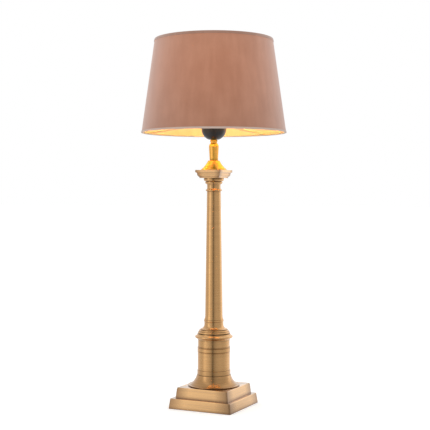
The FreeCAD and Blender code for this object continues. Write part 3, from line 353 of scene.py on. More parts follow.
@dataclass(frozen=True)
class Velvet:
    """Short-pile velvet on a stiff lining, with the bulb's light coming through."""

    name: str = "velvet"
    pile: Color = (0.44, 0.185, 0.098)
    brushed: Color = (0.51, 0.230, 0.132)
    glow: Color = (1.0, 0.26, 0.10)
    glow_strength: float = 0.085
    glow_height: float = 0.690
    glow_reach: float = 0.115
    sheen: float = 1.0
    # Painted shade: the velvet is darker towards the bottom of the shade and lighter towards the top.
    painted_height_shade: tuple[float, float] = (0.90, 1.08)
    span: tuple[float, float] = (0.566, 0.757)
    streak_share: float = 0.6
    sheen_roughness: float = 0.62
    sheen_tint: Color = (1.0, 0.88, 0.84)

    def build(self) -> bpy.types.Material:
        """Makes the material."""
        surface = Surface(self.name)
        streaks = surface.noise(surface.stretched((55.0, 55.0, 9.0)), 1.0, 3.0)
        clouds = surface.noise(surface.place, 24.0, 2.0)
        pile = surface.noise(surface.place, 1900.0, 2.0)
        nap = surface.weigh(streaks, clouds, self.streak_share)
        tone = surface.mix(surface.spread(nap, 0.38, 0.62, (0.0, 1.0)), self.pile, self.brushed)
        height = surface.axes()[2]
        # Painted shade by height, multiplied into the pile's specks.
        height_shade = surface.spread(height, *self.span, self.painted_height_shade)
        speck_and_shade = surface.math("MULTIPLY", surface.spread(pile, 0.3, 0.7, (0.84, 1.12)), height_shade)
        color = surface.vector("MULTIPLY", tone, surface.combine(speck_and_shade, speck_and_shade, speck_and_shade)).outputs[0]
        surface.set(
            Base_Color=color,
            Roughness=0.92,
            Specular_IOR_Level=0.18,
            Sheen_Weight=self.sheen,
            Sheen_Roughness=self.sheen_roughness,
            Sheen_Tint=self.sheen_tint,
            # Painted glow: emission stands in for the bulb's light shining through the velvet.
            Emission_Color=surface.mix(self.through(surface), (0.0, 0.0, 0.0), self.glow),
            Emission_Strength=self.glow_strength,
            Normal=surface.bump(pile, 0.30, 0.0003),
        )
        return surface.material

    def through(self, surface: Surface) -> bpy.types.NodeSocket:
        """The share of the bulb's light that comes through, most at the bulb's own height."""
        _, _, z = surface.axes()
        off = surface.math("DIVIDE", surface.math("SUBTRACT", z, self.glow_height),
                           self.glow_reach)
        spread = surface.math("ADD", surface.math("MULTIPLY", off, off), 1.0)
        return surface.math("DIVIDE", 1.0, spread)


@dataclass(frozen=True)
class WovenBand:
    """A narrow woven tape or binding."""

    name: str
    color: Color
    threads_per_metre: float = 1800.0
    sheen: float = 0.4

    def build(self) -> bpy.types.Material:
        """Makes the material."""
        surface = Surface(self.name)
        weave = surface.add("ShaderNodeTexWave", wave_type="BANDS", bands_direction="DIAGONAL")
        surface.feed(weave.inputs["Vector"], surface.place)
        weave.inputs["Scale"].default_value = self.threads_per_metre / math.tau
        weave.inputs["Distortion"].default_value = 1.5
        threads = weave.outputs["Fac"]
        shade = tuple(value * 0.72 for value in self.color)
        surface.set(
            Base_Color=surface.mix(threads, shade, self.color),
            Roughness=0.85,
            Specular_IOR_Level=0.2,
            Sheen_Weight=self.sheen,
            Normal=surface.bump(threads, 0.4, 0.0002),
        )
        return surface.material


@dataclass(frozen=True)
class GoldLining:
    """Metallised film on the inside of the shade, a little wrinkled where it was glued."""

    color: Color = (0.94, 0.68, 0.37)
    deep: Color = (0.89, 0.61, 0.29)

    def build(self) -> bpy.types.Material:
        """Makes the material."""
        surface = Surface("gold_lining")
        grain = surface.noise(surface.stretched((60.0, 60.0, 14.0)), 1.0, 3.0)
        ripple = surface.noise(surface.place, 420.0, 3.0)
        surface.set(
            Base_Color=surface.mix(grain, self.deep, self.color),
            Metallic=0.35,
            Roughness=surface.spread(ripple, 0.3, 0.7, (0.38, 0.52)),
            Normal=surface.bump(ripple, 0.12, 0.0002),
        )
        return surface.material


@dataclass(frozen=True)
class Moulding:
    """Moulded plastic or glazed insulation."""

    name: str
    color: Color
    roughness: float
    coat: float = 0.0

    def build(self) -> bpy.types.Material:
        """Makes the material."""
        surface = Surface(self.name)
        flow = surface.noise(surface.place, 130.0, 3.0)
        skin = surface.noise(surface.place, 2600.0, 2.0)
        pale = tuple(min(1.0, value * 1.25 + 0.004) for value in self.color)
        surface.set(
            Base_Color=surface.mix(flow, self.color, pale),
            Roughness=surface.spread(flow, 0.3, 0.7, (self.roughness * 0.85, self.roughness * 1.15)),
            Coat_Weight=self.coat,
            Coat_Roughness=0.25,
            Normal=surface.bump(skin, 0.06, 0.0001),
        )
        return surface.material


@dataclass(frozen=True)
class Metal:
    """Plain metal with fine working marks."""

    name: str
    color: Color
    roughness: float
    marks_per_metre: float = 900.0
    contrast: float = 0.8

    def build(self) -> bpy.types.Material:
        """Makes the material."""
        surface = Surface(self.name)
        marks = surface.noise(surface.stretched((0.25, 0.25, 1.0)), self.marks_per_metre, 3.0)
        dark = tuple(value * self.contrast for value in self.color)
        surface.set(
            Base_Color=surface.mix(marks, dark, self.color),
            Metallic=1.0,
            Roughness=surface.spread(marks, 0.3, 0.7, (self.roughness * 0.8, self.roughness * 1.2)),
            Normal=surface.bump(marks, 0.08, 0.0001),
        )
        return surface.material


@dataclass(frozen=True)
class RoughCoat:
    """A rough, unglossy surface: felt, or the painted skin of a casting."""

    name: str
    color: Color
    grains_per_metre: float
    relief: float
    sheen: float = 0.0

    def build(self) -> bpy.types.Material:
        """Makes the material."""
        surface = Surface(self.name)
        grains = surface.noise(surface.place, self.grains_per_metre, 4.0)
        pale = tuple(value * 1.7 for value in self.color)
        surface.set(
            Base_Color=surface.mix(grains, self.color, pale),
            Roughness=0.95,
            Specular_IOR_Level=0.2,
            Sheen_Weight=self.sheen,
            Normal=surface.bump(grains, 0.5, self.relief),
        )
        return surface.material


@dataclass(frozen=True)
class LitGlass:
    """Opal glass with the lamp lit inside it."""

    color: Color = (0.96, 0.93, 0.86)
    light: Color = (1.0, 0.72, 0.36)
    strength: float = 28.0

    def build(self) -> bpy.types.Material:
        """Makes the material."""
        surface = Surface("opal_glass")
        streaks = surface.noise(surface.place, 60.0, 2.0)
        pale = tuple(value * 0.97 for value in self.color)
        surface.set(
            Base_Color=surface.mix(streaks, pale, self.color),
            Roughness=0.12,
            Coat_Weight=0.4,
            Coat_Roughness=0.06,
            Emission_Color=self.light,
            Emission_Strength=self.strength,
        )
        return surface.material


class Palette:
    """Every finish on the lamp, made once, under the record's slot names."""

    def __init__(self) -> None:
        """Builds the materials."""
        self.turned = AntiqueBrass(Grain.TURNED).build()
        self.square = AntiqueBrass(Grain.SQUARE, bright=(0.86, 0.50, 0.205),
                                   dull=(0.72, 0.41, 0.165), lacquer=1.0,
                                   lacquer_ior=1.6).build()
        # A lit copy of the turned brass for the bell, vase and bead: warmer tones and a painted glow of
        # lamplight.
        self.lit = AntiqueBrass(Grain.TURNED, bright=(0.84, 0.43, 0.11), dull=(0.72, 0.35, 0.08),
                                lacquer=0.1, lamplight=0.14, name="antique_brass_lit").build()
        self.slots = {
            "antique_brass": self.turned,
            "felt": RoughCoat("felt", (0.035, 0.032, 0.030), 1500.0, 0.0004, 0.3).build(),
            "bush_plastic": Moulding("bush_plastic", (0.24, 0.15, 0.08), 0.5).build(),
            "ballast_iron": RoughCoat("ballast_iron", (0.05, 0.05, 0.052), 500.0, 0.0004).build(),
            "zinc_steel": Metal("zinc_steel", (0.62, 0.62, 0.60), 0.35).build(),
            "holder_black": Moulding("holder_black", (0.009, 0.008, 0.009), 0.36, 0.12).build(),
            "insert_plastic": Moulding("insert_plastic", (0.72, 0.70, 0.65), 0.5).build(),
            "contact_brass": Metal("contact_brass", (0.83, 0.62, 0.30), 0.25).build(),
            "carrier_paint": Metal("carrier_paint", (0.83, 0.62, 0.33), 0.38, 300.0, 0.9).build(),
            "velvet": Velvet().build(),
            "velvet_tape": Velvet(name="velvet_tape", pile=(0.33, 0.17, 0.11),
                                  brushed=(0.38, 0.20, 0.135), glow_strength=0.03).build(),
            "pale_binding": WovenBand("pale_binding", (0.78, 0.61, 0.52)).build(),
            "gold_lining": GoldLining().build(),
            "solder": Metal("solder", (0.62, 0.62, 0.63), 0.45).build(),
            "black_glass": Moulding("black_glass", (0.012, 0.012, 0.013), 0.15).build(),
            "cap_metal": Metal("cap_metal", (0.78, 0.78, 0.78), 0.28).build(),
            "opal_glass": LitGlass().build(),
        }

    def dress_nodes(self) -> None:
        """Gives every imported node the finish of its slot."""
        for part in frame["record"]["subparts"]:
            node = frame["nodes"][part["node"]]
            square = part["node"] in SQUARE_NODES
            material = self.square if square else self.slots[part["material_slot"]]
            for slot in node.material_slots:
                slot.material = material
        log.info("dressed %d nodes", len(frame["nodes"]))


# Turning and benchwork


def foot_of(node: str, sunk: float = 0.0) -> float:
    """Gives the height of a piece's foot in metres.

    Args:
        node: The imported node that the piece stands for.
        sunk: How far the node reaches below that foot, in millimetres.

    Returns:
        The foot's height.
    """
    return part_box(node)[0][2] + sunk * MM


class Turning:
    """A closed outline beside the lamp's axis, drawn as a wire and then spun round the axis."""

    def __init__(self, foot: float, radius: float, height: float) -> None:
        """Starts the outline.

        Args:
            foot: The height, in metres, that the outline's own heights are measured from.
            radius: The first point's distance from the axis.
            height: The first point's height above the foot.
        """
        self.shape = bmesh.new()
        self.foot = foot
        self.start = self.shape.verts.new(self.spot(radius, height))
        self.tip = self.start
        self.corners: list[bmesh.types.BMVert] = []

    def spot(self, radius: float, height: float) -> Vector:
        """A point of the outline's plane, in metres."""
        return Vector((radius * MM, 0.0, self.foot + height * MM))

    def to(self, radius: float, height: float, turn: float = 0.0, ease: bool = False) -> "Turning":
        """Goes on to a point.

        Args:
            radius: Its distance from the axis.
            height: Its height above the foot.
            turn: Degrees that an arc turns left on its way there, or 0 for a straight run.
            ease: Whether the corner at that point is rounded off later.

        Returns:
            The outline itself.
        """
        end = self.spot(radius, height)
        if turn:
            self.swing(end, turn)
        else:
            after = self.shape.verts.new(end)
            self.shape.edges.new((self.tip, after))
            self.tip = after
        if ease:
            self.corners.append(self.tip)
        return self

    def swing(self, end: Vector, turn: float) -> None:
        """Spins the last vertex along an arc to its end."""
        chord = end - self.tip.co
        left = Vector((-chord.z, 0.0, chord.x))
        centre = (end + self.tip.co) / 2 + left / (2 * math.tan(math.radians(turn) / 2))
        steps = max(2, math.ceil(abs(turn) / ARC_STEP))
        arc = bmesh.ops.spin(self.shape, geom=[self.tip], cent=centre, axis=(0.0, -1.0, 0.0),
                             angle=math.radians(turn), steps=steps)
        self.tip = next(part for part in arc["geom_last"] if isinstance(part, bmesh.types.BMVert))

    def spin(self, steps: int = ROUND_STEPS, ease: float = 0.35) -> bmesh.types.BMesh:
        """Closes the outline, rounds its marked corners and spins it.

        Args:
            steps: Facets round the axis.
            ease: How far a corner's rounding starts from the corner.

        Returns:
            The solid.
        """
        self.shape.edges.new((self.tip, self.start))
        if self.corners:
            bmesh.ops.bevel(self.shape, geom=self.corners, offset=ease * MM, segments=3, profile=0.5,
                            affect="VERTICES", material=-1, clamp_overlap=True)
        outline = list(self.shape.verts) + list(self.shape.edges)
        bmesh.ops.spin(self.shape, geom=outline, cent=(0.0, 0.0, 0.0), axis=AXIS, angle=math.tau,
                       steps=steps, use_merge=True)
        bmesh.ops.remove_doubles(self.shape, verts=self.shape.verts, dist=TOUCH)
        return self.shape


@dataclass
class Workshop:
    """Where a finished shape becomes a piece of the lamp."""

    palette: Palette

    def hand_over(self, shape: bmesh.types.BMesh, name: str, node: str, body: Body = Body.STAND,
                  finish: bpy.types.Material | None = None) -> bpy.types.Object:
        """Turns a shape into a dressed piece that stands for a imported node.

        Args:
            shape: The finished shape, which is used up.
            name: The piece's name.
            node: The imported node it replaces, whose material slot it takes.
            body: The body that it rides on.
            finish: Its material, when that isn't the slot's usual one.

        Returns:
            The piece.
        """
        bmesh.ops.recalc_face_normals(shape, faces=shape.faces)
        for face in shape.faces:
            face.smooth = True
        for edge in shape.edges:
            edge.smooth = len(edge.link_faces) == 2 and edge.calc_face_angle() < CREASE
        mesh = bpy.data.meshes.new(name)
        shape.to_mesh(mesh)
        shape.free()
        piece = bpy.data.objects.new(name, mesh)
        bpy.context.scene.collection.objects.link(piece)
        piece.modifiers.new("weighted_normals", "WEIGHTED_NORMAL").keep_sharp = True
        slot = SLOT_OF[node]
        mesh.materials.append(finish or self.palette.slots[slot])
        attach(piece, body.value)
        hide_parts(node)
        log.info("%s for %s: %d faces", name, node, len(mesh.polygons))
        return piece


# Stand


@dataclass
class Plinth:
    """The hollow upper block, pressed with leaning sides, and the spun skirt. The lower block is
    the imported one."""

    wall: float = 2.5
    lean: float = 2.5
    corner: float = 2.6
    edge: float = 1.2
    skirt_radius: float = 53.5
    skirt_lip: float = 2.5
    skirt_shoulder: float = 4.0
    skirt_top: float = 35.2
    skirt_rise: float = 22.9
    skirt_wall: float = 2.0
    foot_ease: float = 0.5

    def build(self, workshop: Workshop) -> None:
        """Makes the upper block and the skirt."""
        square = workshop.palette.square
        workshop.hand_over(self.block(), "upper_block", "upper_plinth", finish=square)
        workshop.hand_over(self.skirt(), "spun_skirt", "foot_skirt")

    def block(self) -> bmesh.types.BMesh:
        """A hollow block, open below. The skirt hides its top, which is left without the rod's hole."""
        low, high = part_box("upper_plinth")
        side = high[0] - low[0]
        rise = high[2] - low[2]
        shape = bmesh.new()
        bmesh.ops.create_cube(shape, size=1.0)
        bmesh.ops.scale(shape, vec=(side, side, rise), verts=shape.verts)
        bmesh.ops.translate(shape, vec=(0.0, 0.0, low[2] + rise / 2), verts=shape.verts)
        top = [vert for vert in shape.verts if vert.co.z > low[2] + rise / 2]
        share = 1.0 - 2 * self.lean * MM / side
        bmesh.ops.scale(shape, vec=(share, share, 1.0), verts=top)
        upright = [edge for edge in shape.edges
                   if abs(edge.verts[0].co.z - edge.verts[1].co.z) > TOUCH]
        bmesh.ops.bevel(shape, geom=upright, offset=self.corner * MM, segments=5, profile=0.5,
                        affect="EDGES", material=-1)
        rim = [edge for edge in shape.edges
               if all(vert.co.z > high[2] - TOUCH for vert in edge.verts)]
        bmesh.ops.bevel(shape, geom=rim, offset=self.edge * MM, segments=4, profile=0.5,
                        affect="EDGES", material=-1)
        floor = [face for face in shape.faces if face.normal.z < -UPRIGHT]
        bmesh.ops.inset_region(shape, faces=floor, thickness=self.wall * MM)
        bmesh.ops.translate(shape, vec=(0.0, 0.0, rise - self.wall * MM),
                            verts=[vert for face in floor for vert in face.verts])
        return shape

    def skirt(self) -> bmesh.types.BMesh:
        """A rounded lip, then a hollow sweep in to the pedestal."""
        cove_foot = self.skirt_radius - self.skirt_shoulder
        half = self.skirt_lip / 2
        outline = Turning(foot_of("foot_skirt"), self.skirt_radius - self.foot_ease, 0.0)
        outline.to(self.skirt_radius, half, SLIGHT)
        outline.to(self.skirt_radius - half, self.skirt_lip, QUARTER)
        outline.to(cove_foot, self.skirt_lip)
        outline.to(self.skirt_top, self.skirt_rise, -SWEEP, ease=True)
        outline.to(self.skirt_top - self.skirt_wall, self.skirt_rise)
        outline.to(cove_foot - self.skirt_wall, half, SWEEP)
        outline.to(cove_foot - self.skirt_wall, 0.0)
        return outline.spin()


@dataclass
class Pedestal:
    """Ring, drum, grooved band, frieze and cornice, spigoted together."""

    drum_radius: float = 33.4
    drum_rise: float = 36.6
    wall: float = 1.8
    ring_radius: float = 34.4
    ring_rise: float = 9.6
    band_radius: float = 33.9
    band_rise: float = 11.4
    groove_inset: float = 1.7
    groove_half: float = 0.7
    groove_depth: float = 0.8
    frieze_radius: float = 32.9
    frieze_rise: float = 14.4
    spigot: float = 4.0
    cornice_lip: float = 0.6
    nose_radius: float = 37.6
    nose_low: float = 4.4
    nose_high: float = 8.8
    cornice_top: float = 34.2
    cornice_rise: float = 12.5
    web: float = 2.7

    def build(self, workshop: Workshop) -> None:
        """Makes the five pieces from the ring up."""
        workshop.hand_over(self.ring(), "pedestal_ring", "pedestal_foot_ring")
        workshop.hand_over(self.tube("pedestal_drum", self.drum_radius, self.drum_rise),
                           "drum_tube", "pedestal_drum")
        workshop.hand_over(self.band(), "grooved_band", "pedestal_band")
        workshop.hand_over(self.tube("pedestal_frieze", self.frieze_radius, self.frieze_rise),
                           "frieze_tube", "pedestal_frieze")
        workshop.hand_over(self.cornice(), "cornice_moulding", "pedestal_cornice")

    def ring(self) -> bmesh.types.BMesh:
        """The ring that seats on the skirt, with eased edges."""
        inner = self.drum_radius - self.wall * 2
        outline = Turning(foot_of("pedestal_foot_ring"), inner, 0.0)
        outline.to(self.ring_radius, 0.0, ease=True)
        outline.to(self.ring_radius, self.ring_rise, ease=True)
        outline.to(inner + self.wall, self.ring_rise)
        outline.to(inner, self.ring_rise)
        return outline.spin(ease=0.8)

    def tube(self, node: str, radius: float, rise: float) -> bmesh.types.BMesh:
        """A plain drawn tube with eased ends."""
        outline = Turning(foot_of(node), radius - self.wall, 0.0)
        outline.to(radius, 0.0, ease=True).to(radius, rise, ease=True)
        outline.to(radius - self.wall, rise)
        return outline.spin(ease=0.25)

    def band(self) -> bmesh.types.BMesh:
        """A band with two turned grooves between its spigots."""
        low = self.drum_radius - self.wall - SPIGOT_GAP
        high = self.frieze_radius - self.wall - SPIGOT_GAP
        outline = Turning(foot_of("pedestal_band", self.spigot), high - self.wall, -self.spigot)
        outline.to(low, -self.spigot).to(low, 0.0)
        outline.to(self.band_radius, 0.0, ease=True)
        for middle in (self.groove_inset, self.band_rise - self.groove_inset):
            outline.to(self.band_radius, middle - self.groove_half)
            outline.to(self.band_radius - self.groove_depth, middle, ease=True)
            outline.to(self.band_radius, middle + self.groove_half)
        outline.to(self.band_radius, self.band_rise, ease=True)
        outline.to(high, self.band_rise).to(high, self.band_rise + self.spigot)
        outline.to(high - self.wall, self.band_rise + self.spigot)
        return outline.spin(ease=0.3)

    def cornice(self) -> bmesh.types.BMesh:
        """A hollow moulding, a round nose and a sloping top."""
        spigot = self.frieze_radius - self.wall - SPIGOT_GAP
        inner = spigot - self.wall
        web = self.cornice_rise - self.web
        outline = Turning(foot_of("pedestal_cornice", self.spigot), inner, -self.spigot)
        outline.to(spigot, -self.spigot).to(spigot, 0.0)
        outline.to(self.frieze_radius + self.cornice_lip, 0.0, ease=True)
        outline.to(self.nose_radius, self.nose_low, -ROUND)
        outline.to(self.nose_radius, self.nose_high, DEEP)
        outline.to(self.cornice_top, self.cornice_rise, -SWEEP)
        outline.to(ROD_HOLE, self.cornice_rise)
        outline.to(ROD_HOLE, web).to(inner, web)
        return outline.spin(ease=0.3)


@dataclass
class ColumnBase:
    """Torus, scotia and collar, which carry the eye from the pedestal in to the shaft."""

    torus_radius: float = 31.8
    torus_band: float = 4.8
    torus_step: float = 0.6
    torus_top: float = 29.6
    torus_rise: float = 8.3
    lip_radius: float = 28.0
    lip_rise: float = 2.3
    lip_fillet: float = 2.0
    waist: float = 19.8
    waist_height: float = 11.5
    scotia_rise: float = 16.4
    collar_radius: float = 19.6
    bead: float = 4.6
    flare: float = 20.2
    shaft_radius: float = 18.2
    collar_rise: float = 12.0
    spigot_radius: float = 16.4
    spigot: float = 4.0

    def build(self, workshop: Workshop) -> None:
        """Makes the three pieces."""
        workshop.hand_over(self.torus(), "torus_moulding", "column_torus")
        workshop.hand_over(self.scotia(), "scotia_moulding", "column_scotia")
        workshop.hand_over(self.collar(), "shaft_collar", "column_collar")

    def torus(self) -> bmesh.types.BMesh:
        """Two rounds, one above the other, with a narrow step between."""
        outline = Turning(foot_of("column_torus"), ROD_HOLE, 0.0)
        outline.to(self.torus_radius, 0.0)
        outline.to(self.torus_radius, self.torus_band, DEEP)
        outline.to(self.torus_radius - self.torus_step, self.torus_band)
        outline.to(self.torus_top, self.torus_rise, QUARTER)
        outline.to(ROD_HOLE, self.torus_rise)
        return outline.spin()

    def scotia(self) -> bmesh.types.BMesh:
        """A square lip and a deep hollow."""
        outline = Turning(foot_of("column_scotia"), ROD_HOLE, 0.0)
        outline.to(self.lip_radius, 0.0, ease=True)
        outline.to(self.lip_radius, self.lip_rise, ease=True)
        outline.to(self.lip_radius - self.lip_fillet, self.lip_rise)
        outline.to(self.waist, self.waist_height, -ROUND)
        outline.to(self.waist, self.scotia_rise)
        outline.to(ROD_HOLE, self.scotia_rise)
        return outline.spin(ease=0.5)

    def collar(self) -> bmesh.types.BMesh:
        """A bead and a flare up to the shaft, with a spigot inside it."""
        outline = Turning(foot_of("column_collar"), ROD_HOLE, 0.0)
        outline.to(self.collar_radius, 0.0)
        outline.to(self.collar_radius, self.bead, QUARTER)
        outline.to(self.flare, self.bead, ease=True)
        outline.to(self.shaft_radius, self.collar_rise, -SLIGHT)
        outline.to(self.spigot_radius, self.collar_rise)
        outline.to(self.spigot_radius, self.collar_rise + self.spigot)
        outline.to(ROD_HOLE, self.collar_rise + self.spigot)
        return outline.spin(ease=0.3)


@dataclass
class Column:
    """The tapered shaft, a drawn tube."""

    bottom: float = 18.2
    top: float = 14.4
    rise: float = 258.0
    wall: float = 1.6
    courses: int = 12

    def build(self, workshop: Workshop) -> None:
        """Makes the shaft."""
        workshop.hand_over(self.shaft(), "tapered_shaft", "column_shaft")

    def shaft(self) -> bmesh.types.BMesh:
        """A tube that narrows steadily, drawn in courses so that its facets stay near square."""
        outline = Turning(foot_of("column_shaft"), self.bottom - self.wall, 0.0)
        for course in range(self.courses + 1):
            share = course / self.courses
            outline.to(self.bottom + (self.top - self.bottom) * share, self.rise * share)
        outline.to(self.top - self.wall, self.rise)
        return outline.spin()


@dataclass
class Capital:
    """Astragal, neck, echinus and the spun bell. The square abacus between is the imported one."""

    astragal: float = 15.2
    bead: float = 4.4
    neck: float = 14.1
    astragal_rise: float = 7.0
    astragal_foot: float = 0.8
    spigot_radius: float = 12.7
    spigot: float = 4.0
    neck_straight: float = 5.0
    neck_flare: float = 15.7
    neck_rise: float = 8.4
    quirk: float = 16.8
    annulet: float = 17.5
    annulet_foot: float = 1.0
    annulet_top: float = 4.6
    quirk_top: float = 5.4
    ovolo_foot: float = 18.6
    ovolo: float = 20.9
    ovolo_top: float = 9.0
    echinus_rise: float = 12.0
    bell_radius: float = 27.4
    bell_lip: float = 0.8
    bell_top: float = 12.6
    bell_cove_top: float = 18.0
    bell_rise: float = 19.5
    bell_wall: float = 1.6

    def build(self, workshop: Workshop) -> None:
        """Makes the four turned pieces."""
        workshop.hand_over(self.make_astragal(), "astragal_moulding", "capital_astragal")
        workshop.hand_over(self.make_neck(), "neck_moulding", "capital_neck")
        workshop.hand_over(self.make_echinus(), "echinus_moulding", "capital_echinus")
        workshop.hand_over(self.make_bell(), "bell_cover", "capital_bell",
                           finish=workshop.palette.lit)

    def make_astragal(self) -> bmesh.types.BMesh:
        """A bead at the top of the shaft, with a spigot down inside it."""
        outline = Turning(foot_of("capital_astragal", self.spigot), ROD_HOLE, -self.spigot)
        outline.to(self.spigot_radius, -self.spigot).to(self.spigot_radius, 0.0)
        outline.to(self.astragal, 0.0)
        outline.to(self.astragal, self.bead, DEEP)
        outline.to(self.neck + self.astragal_foot, self.bead)
        outline.to(self.neck, self.astragal_rise, -SLIGHT)
        outline.to(ROD_HOLE, self.astragal_rise)
        return outline.spin()

    def make_neck(self) -> bmesh.types.BMesh:
        """A short straight neck that flares under the echinus."""
        outline = Turning(foot_of("capital_neck"), ROD_HOLE, 0.0)
        outline.to(self.neck, 0.0).to(self.neck, self.neck_straight)
        outline.to(self.neck_flare, self.neck_rise, -HOLLOW, ease=True)
        outline.to(ROD_HOLE, self.neck_rise)
        return outline.spin(ease=0.2)

    def make_echinus(self) -> bmesh.types.BMesh:
        """An annulet, a quirk and an ovolo."""
        outline = Turning(foot_of("capital_echinus"), ROD_HOLE, 0.0)
        outline.to(self.quirk, 0.0)
        outline.to(self.annulet, self.annulet_foot)
        outline.to(self.annulet, self.annulet_top, HOLLOW)
        outline.to(self.quirk, self.annulet_top).to(self.quirk, self.quirk_top)
        outline.to(self.ovolo_foot, self.quirk_top)
        outline.to(self.ovolo, self.ovolo_top, ROUND)
        outline.to(self.ovolo, self.echinus_rise, ease=True)
        outline.to(ROD_HOLE, self.echinus_rise)
        return outline.spin(ease=0.3)

    def make_bell(self) -> bmesh.types.BMesh:
        """A hollow bell that stands on the abacus and closes at the top."""
        outline = Turning(foot_of("capital_bell"), self.bell_radius - self.bell_wall, 0.0)
        outline.to(self.bell_radius, 0.0)
        outline.to(self.bell_radius, self.bell_lip, ease=True)
        outline.to(self.bell_top, self.bell_cove_top, -SLIGHT)
        outline.to(self.bell_top, self.bell_rise, ease=True)
        outline.to(ROD_HOLE, self.bell_rise)
        outline.to(ROD_HOLE, self.bell_rise - self.bell_wall)
        outline.to(self.bell_top - self.bell_wall, self.bell_cove_top - self.bell_wall)
        return outline.spin(ease=0.25)


@dataclass
class Stem:
    """The slender vase and the bead under the lampholder."""

    foot: float = 7.6
    bottom: float = 8.9
    bottom_height: float = 2.2
    shoulder: float = 10.3
    shoulder_height: float = 28.5
    neck: float = 6.8
    neck_height: float = 36.0
    rise: float = 37.5
    bead: float = 4.4
    bead_rise: float = 6.0

    def build(self, workshop: Workshop) -> None:
        """Makes the vase and its bead."""
        lit = workshop.palette.lit
        workshop.hand_over(self.vase(), "vase_turning", "holder_vase", finish=lit)
        workshop.hand_over(self.collar(), "vase_bead", "holder_collar", finish=lit)

    def vase(self) -> bmesh.types.BMesh:
        """Swells upward to a round shoulder and draws in to its neck."""
        outline = Turning(foot_of("holder_vase"), ROD_HOLE, 0.0)
        outline.to(self.foot, 0.0, ease=True)
        outline.to(self.bottom, self.bottom_height, HOLLOW)
        outline.to(self.shoulder, self.shoulder_height)
        outline.to(self.neck, self.neck_height, SWEEP)
        outline.to(self.neck, self.rise).to(ROD_HOLE, self.rise)
        return outline.spin(ease=0.2)

    def collar(self) -> bmesh.types.BMesh:
        """A round bead between two short necks."""
        low = (self.bead_rise - self.bead) / 2
        outline = Turning(foot_of("holder_collar"), ROD_HOLE, 0.0)
        outline.to(self.neck, 0.0).to(self.neck, low)
        outline.to(self.neck, low + self.bead, QUARTER)
        outline.to(self.neck, self.bead_rise).to(ROD_HOLE, self.bead_rise)
        return outline.spin()


# Lampholder


@dataclass
class Lampholder:
    """The bowl-shaped cap and the threaded barrel of the lampholder."""

    foot: float = 10.5
    rim: float = 25.5
    bowl_rise: float = 22.0
    rise: float = 25.0
    wall: float = 2.2
    ledge: float = 16.0
    ledge_radius: float = 20.0
    barrel: float = 19.8
    barrel_wall: float = 2.6
    barrel_sunk: float = 5.0
    flange: float = 3.0
    barrel_rise: float = 35.0
    thread_depth: float = 0.9
    thread_pitch: float = 3.2
    thread_turns: float = 8.5
    thread_start: float = 5.5
    thread_half: float = 0.35
    thread_sunk: float = 0.3
    crest_gap: float = 0.1

    def build(self, workshop: Workshop) -> None:
        """Makes the cap and the barrel."""
        workshop.hand_over(self.cap(), "holder_bowl", "holder_cap")
        workshop.hand_over(self.threaded_barrel(), "holder_sleeve", "holder_barrel")

    def cap(self) -> bmesh.types.BMesh:
        """A bowl with a round side, a rim and a ledge inside for the insert."""
        outline = Turning(foot_of("holder_cap"), ROD_HOLE, 0.0)
        outline.to(self.foot, 0.0, ease=True)
        outline.to(self.rim, self.bowl_rise, ROUND)
        outline.to(self.rim, self.rise, ease=True)
        outline.to(self.rim - self.wall, self.rise)
        outline.to(self.rim - self.wall, self.ledge)
        outline.to(self.ledge_radius, self.ledge)
        outline.to(self.foot, self.wall, -SWEEP)
        outline.to(ROD_HOLE, self.wall)
        return outline.spin(ease=0.5)

    def threaded_barrel(self) -> bmesh.types.BMesh:
        """A flanged sleeve with the ring nut's thread wound round it."""
        root = self.barrel - self.thread_depth
        inner = self.barrel - self.barrel_wall
        foot = foot_of("holder_barrel", self.barrel_sunk)
        outline = Turning(foot, inner, -self.barrel_sunk)
        outline.to(root, -self.barrel_sunk).to(root, 0.0)
        outline.to(self.rim, 0.0, ease=True)
        outline.to(self.rim, self.flange, ease=True)
        outline.to(root, self.flange)
        outline.to(root, self.barrel_rise, ease=True)
        outline.to(inner, self.barrel_rise)
        shape = outline.spin(ease=0.4)
        self.wind_thread(shape, foot, root)
        return shape

    def wind_thread(self, shape: bmesh.types.BMesh, foot: float, root: float) -> None:
        """Winds a ridge round the sleeve, as a closed shell that sinks into it.

        Args:
            shape: The sleeve, which gains the ridge.
            foot: The height of the sleeve's own zero, in metres.
            root: The thread's smallest radius.
        """
        ridge = bmesh.new()
        half = self.thread_pitch * self.thread_half
        low = root - self.thread_sunk
        places = ((low, -half), (self.barrel - self.crest_gap, 0.0), (low, half))
        profile = [ridge.verts.new((radius * MM, 0.0, foot + (self.thread_start + up) * MM))
                   for radius, up in places]
        ridge.faces.new(profile)
        steps = int(self.thread_turns * THREAD_STEPS)
        climb = Vector((0.0, 0.0, self.thread_pitch * MM / THREAD_STEPS))
        section = list(ridge.faces) + list(ridge.edges) + list(ridge.verts)
        bmesh.ops.spin(ridge, geom=section, cent=(0.0, 0.0, 0.0), axis=AXIS, dvec=climb,
                       angle=math.tau * self.thread_turns, steps=steps)
        bmesh.ops.recalc_face_normals(ridge, faces=ridge.faces)
        wound = bpy.data.meshes.new("thread")
        ridge.to_mesh(wound)
        ridge.free()
        shape.from_mesh(wound)
        bpy.data.meshes.remove(wound)


# Shade


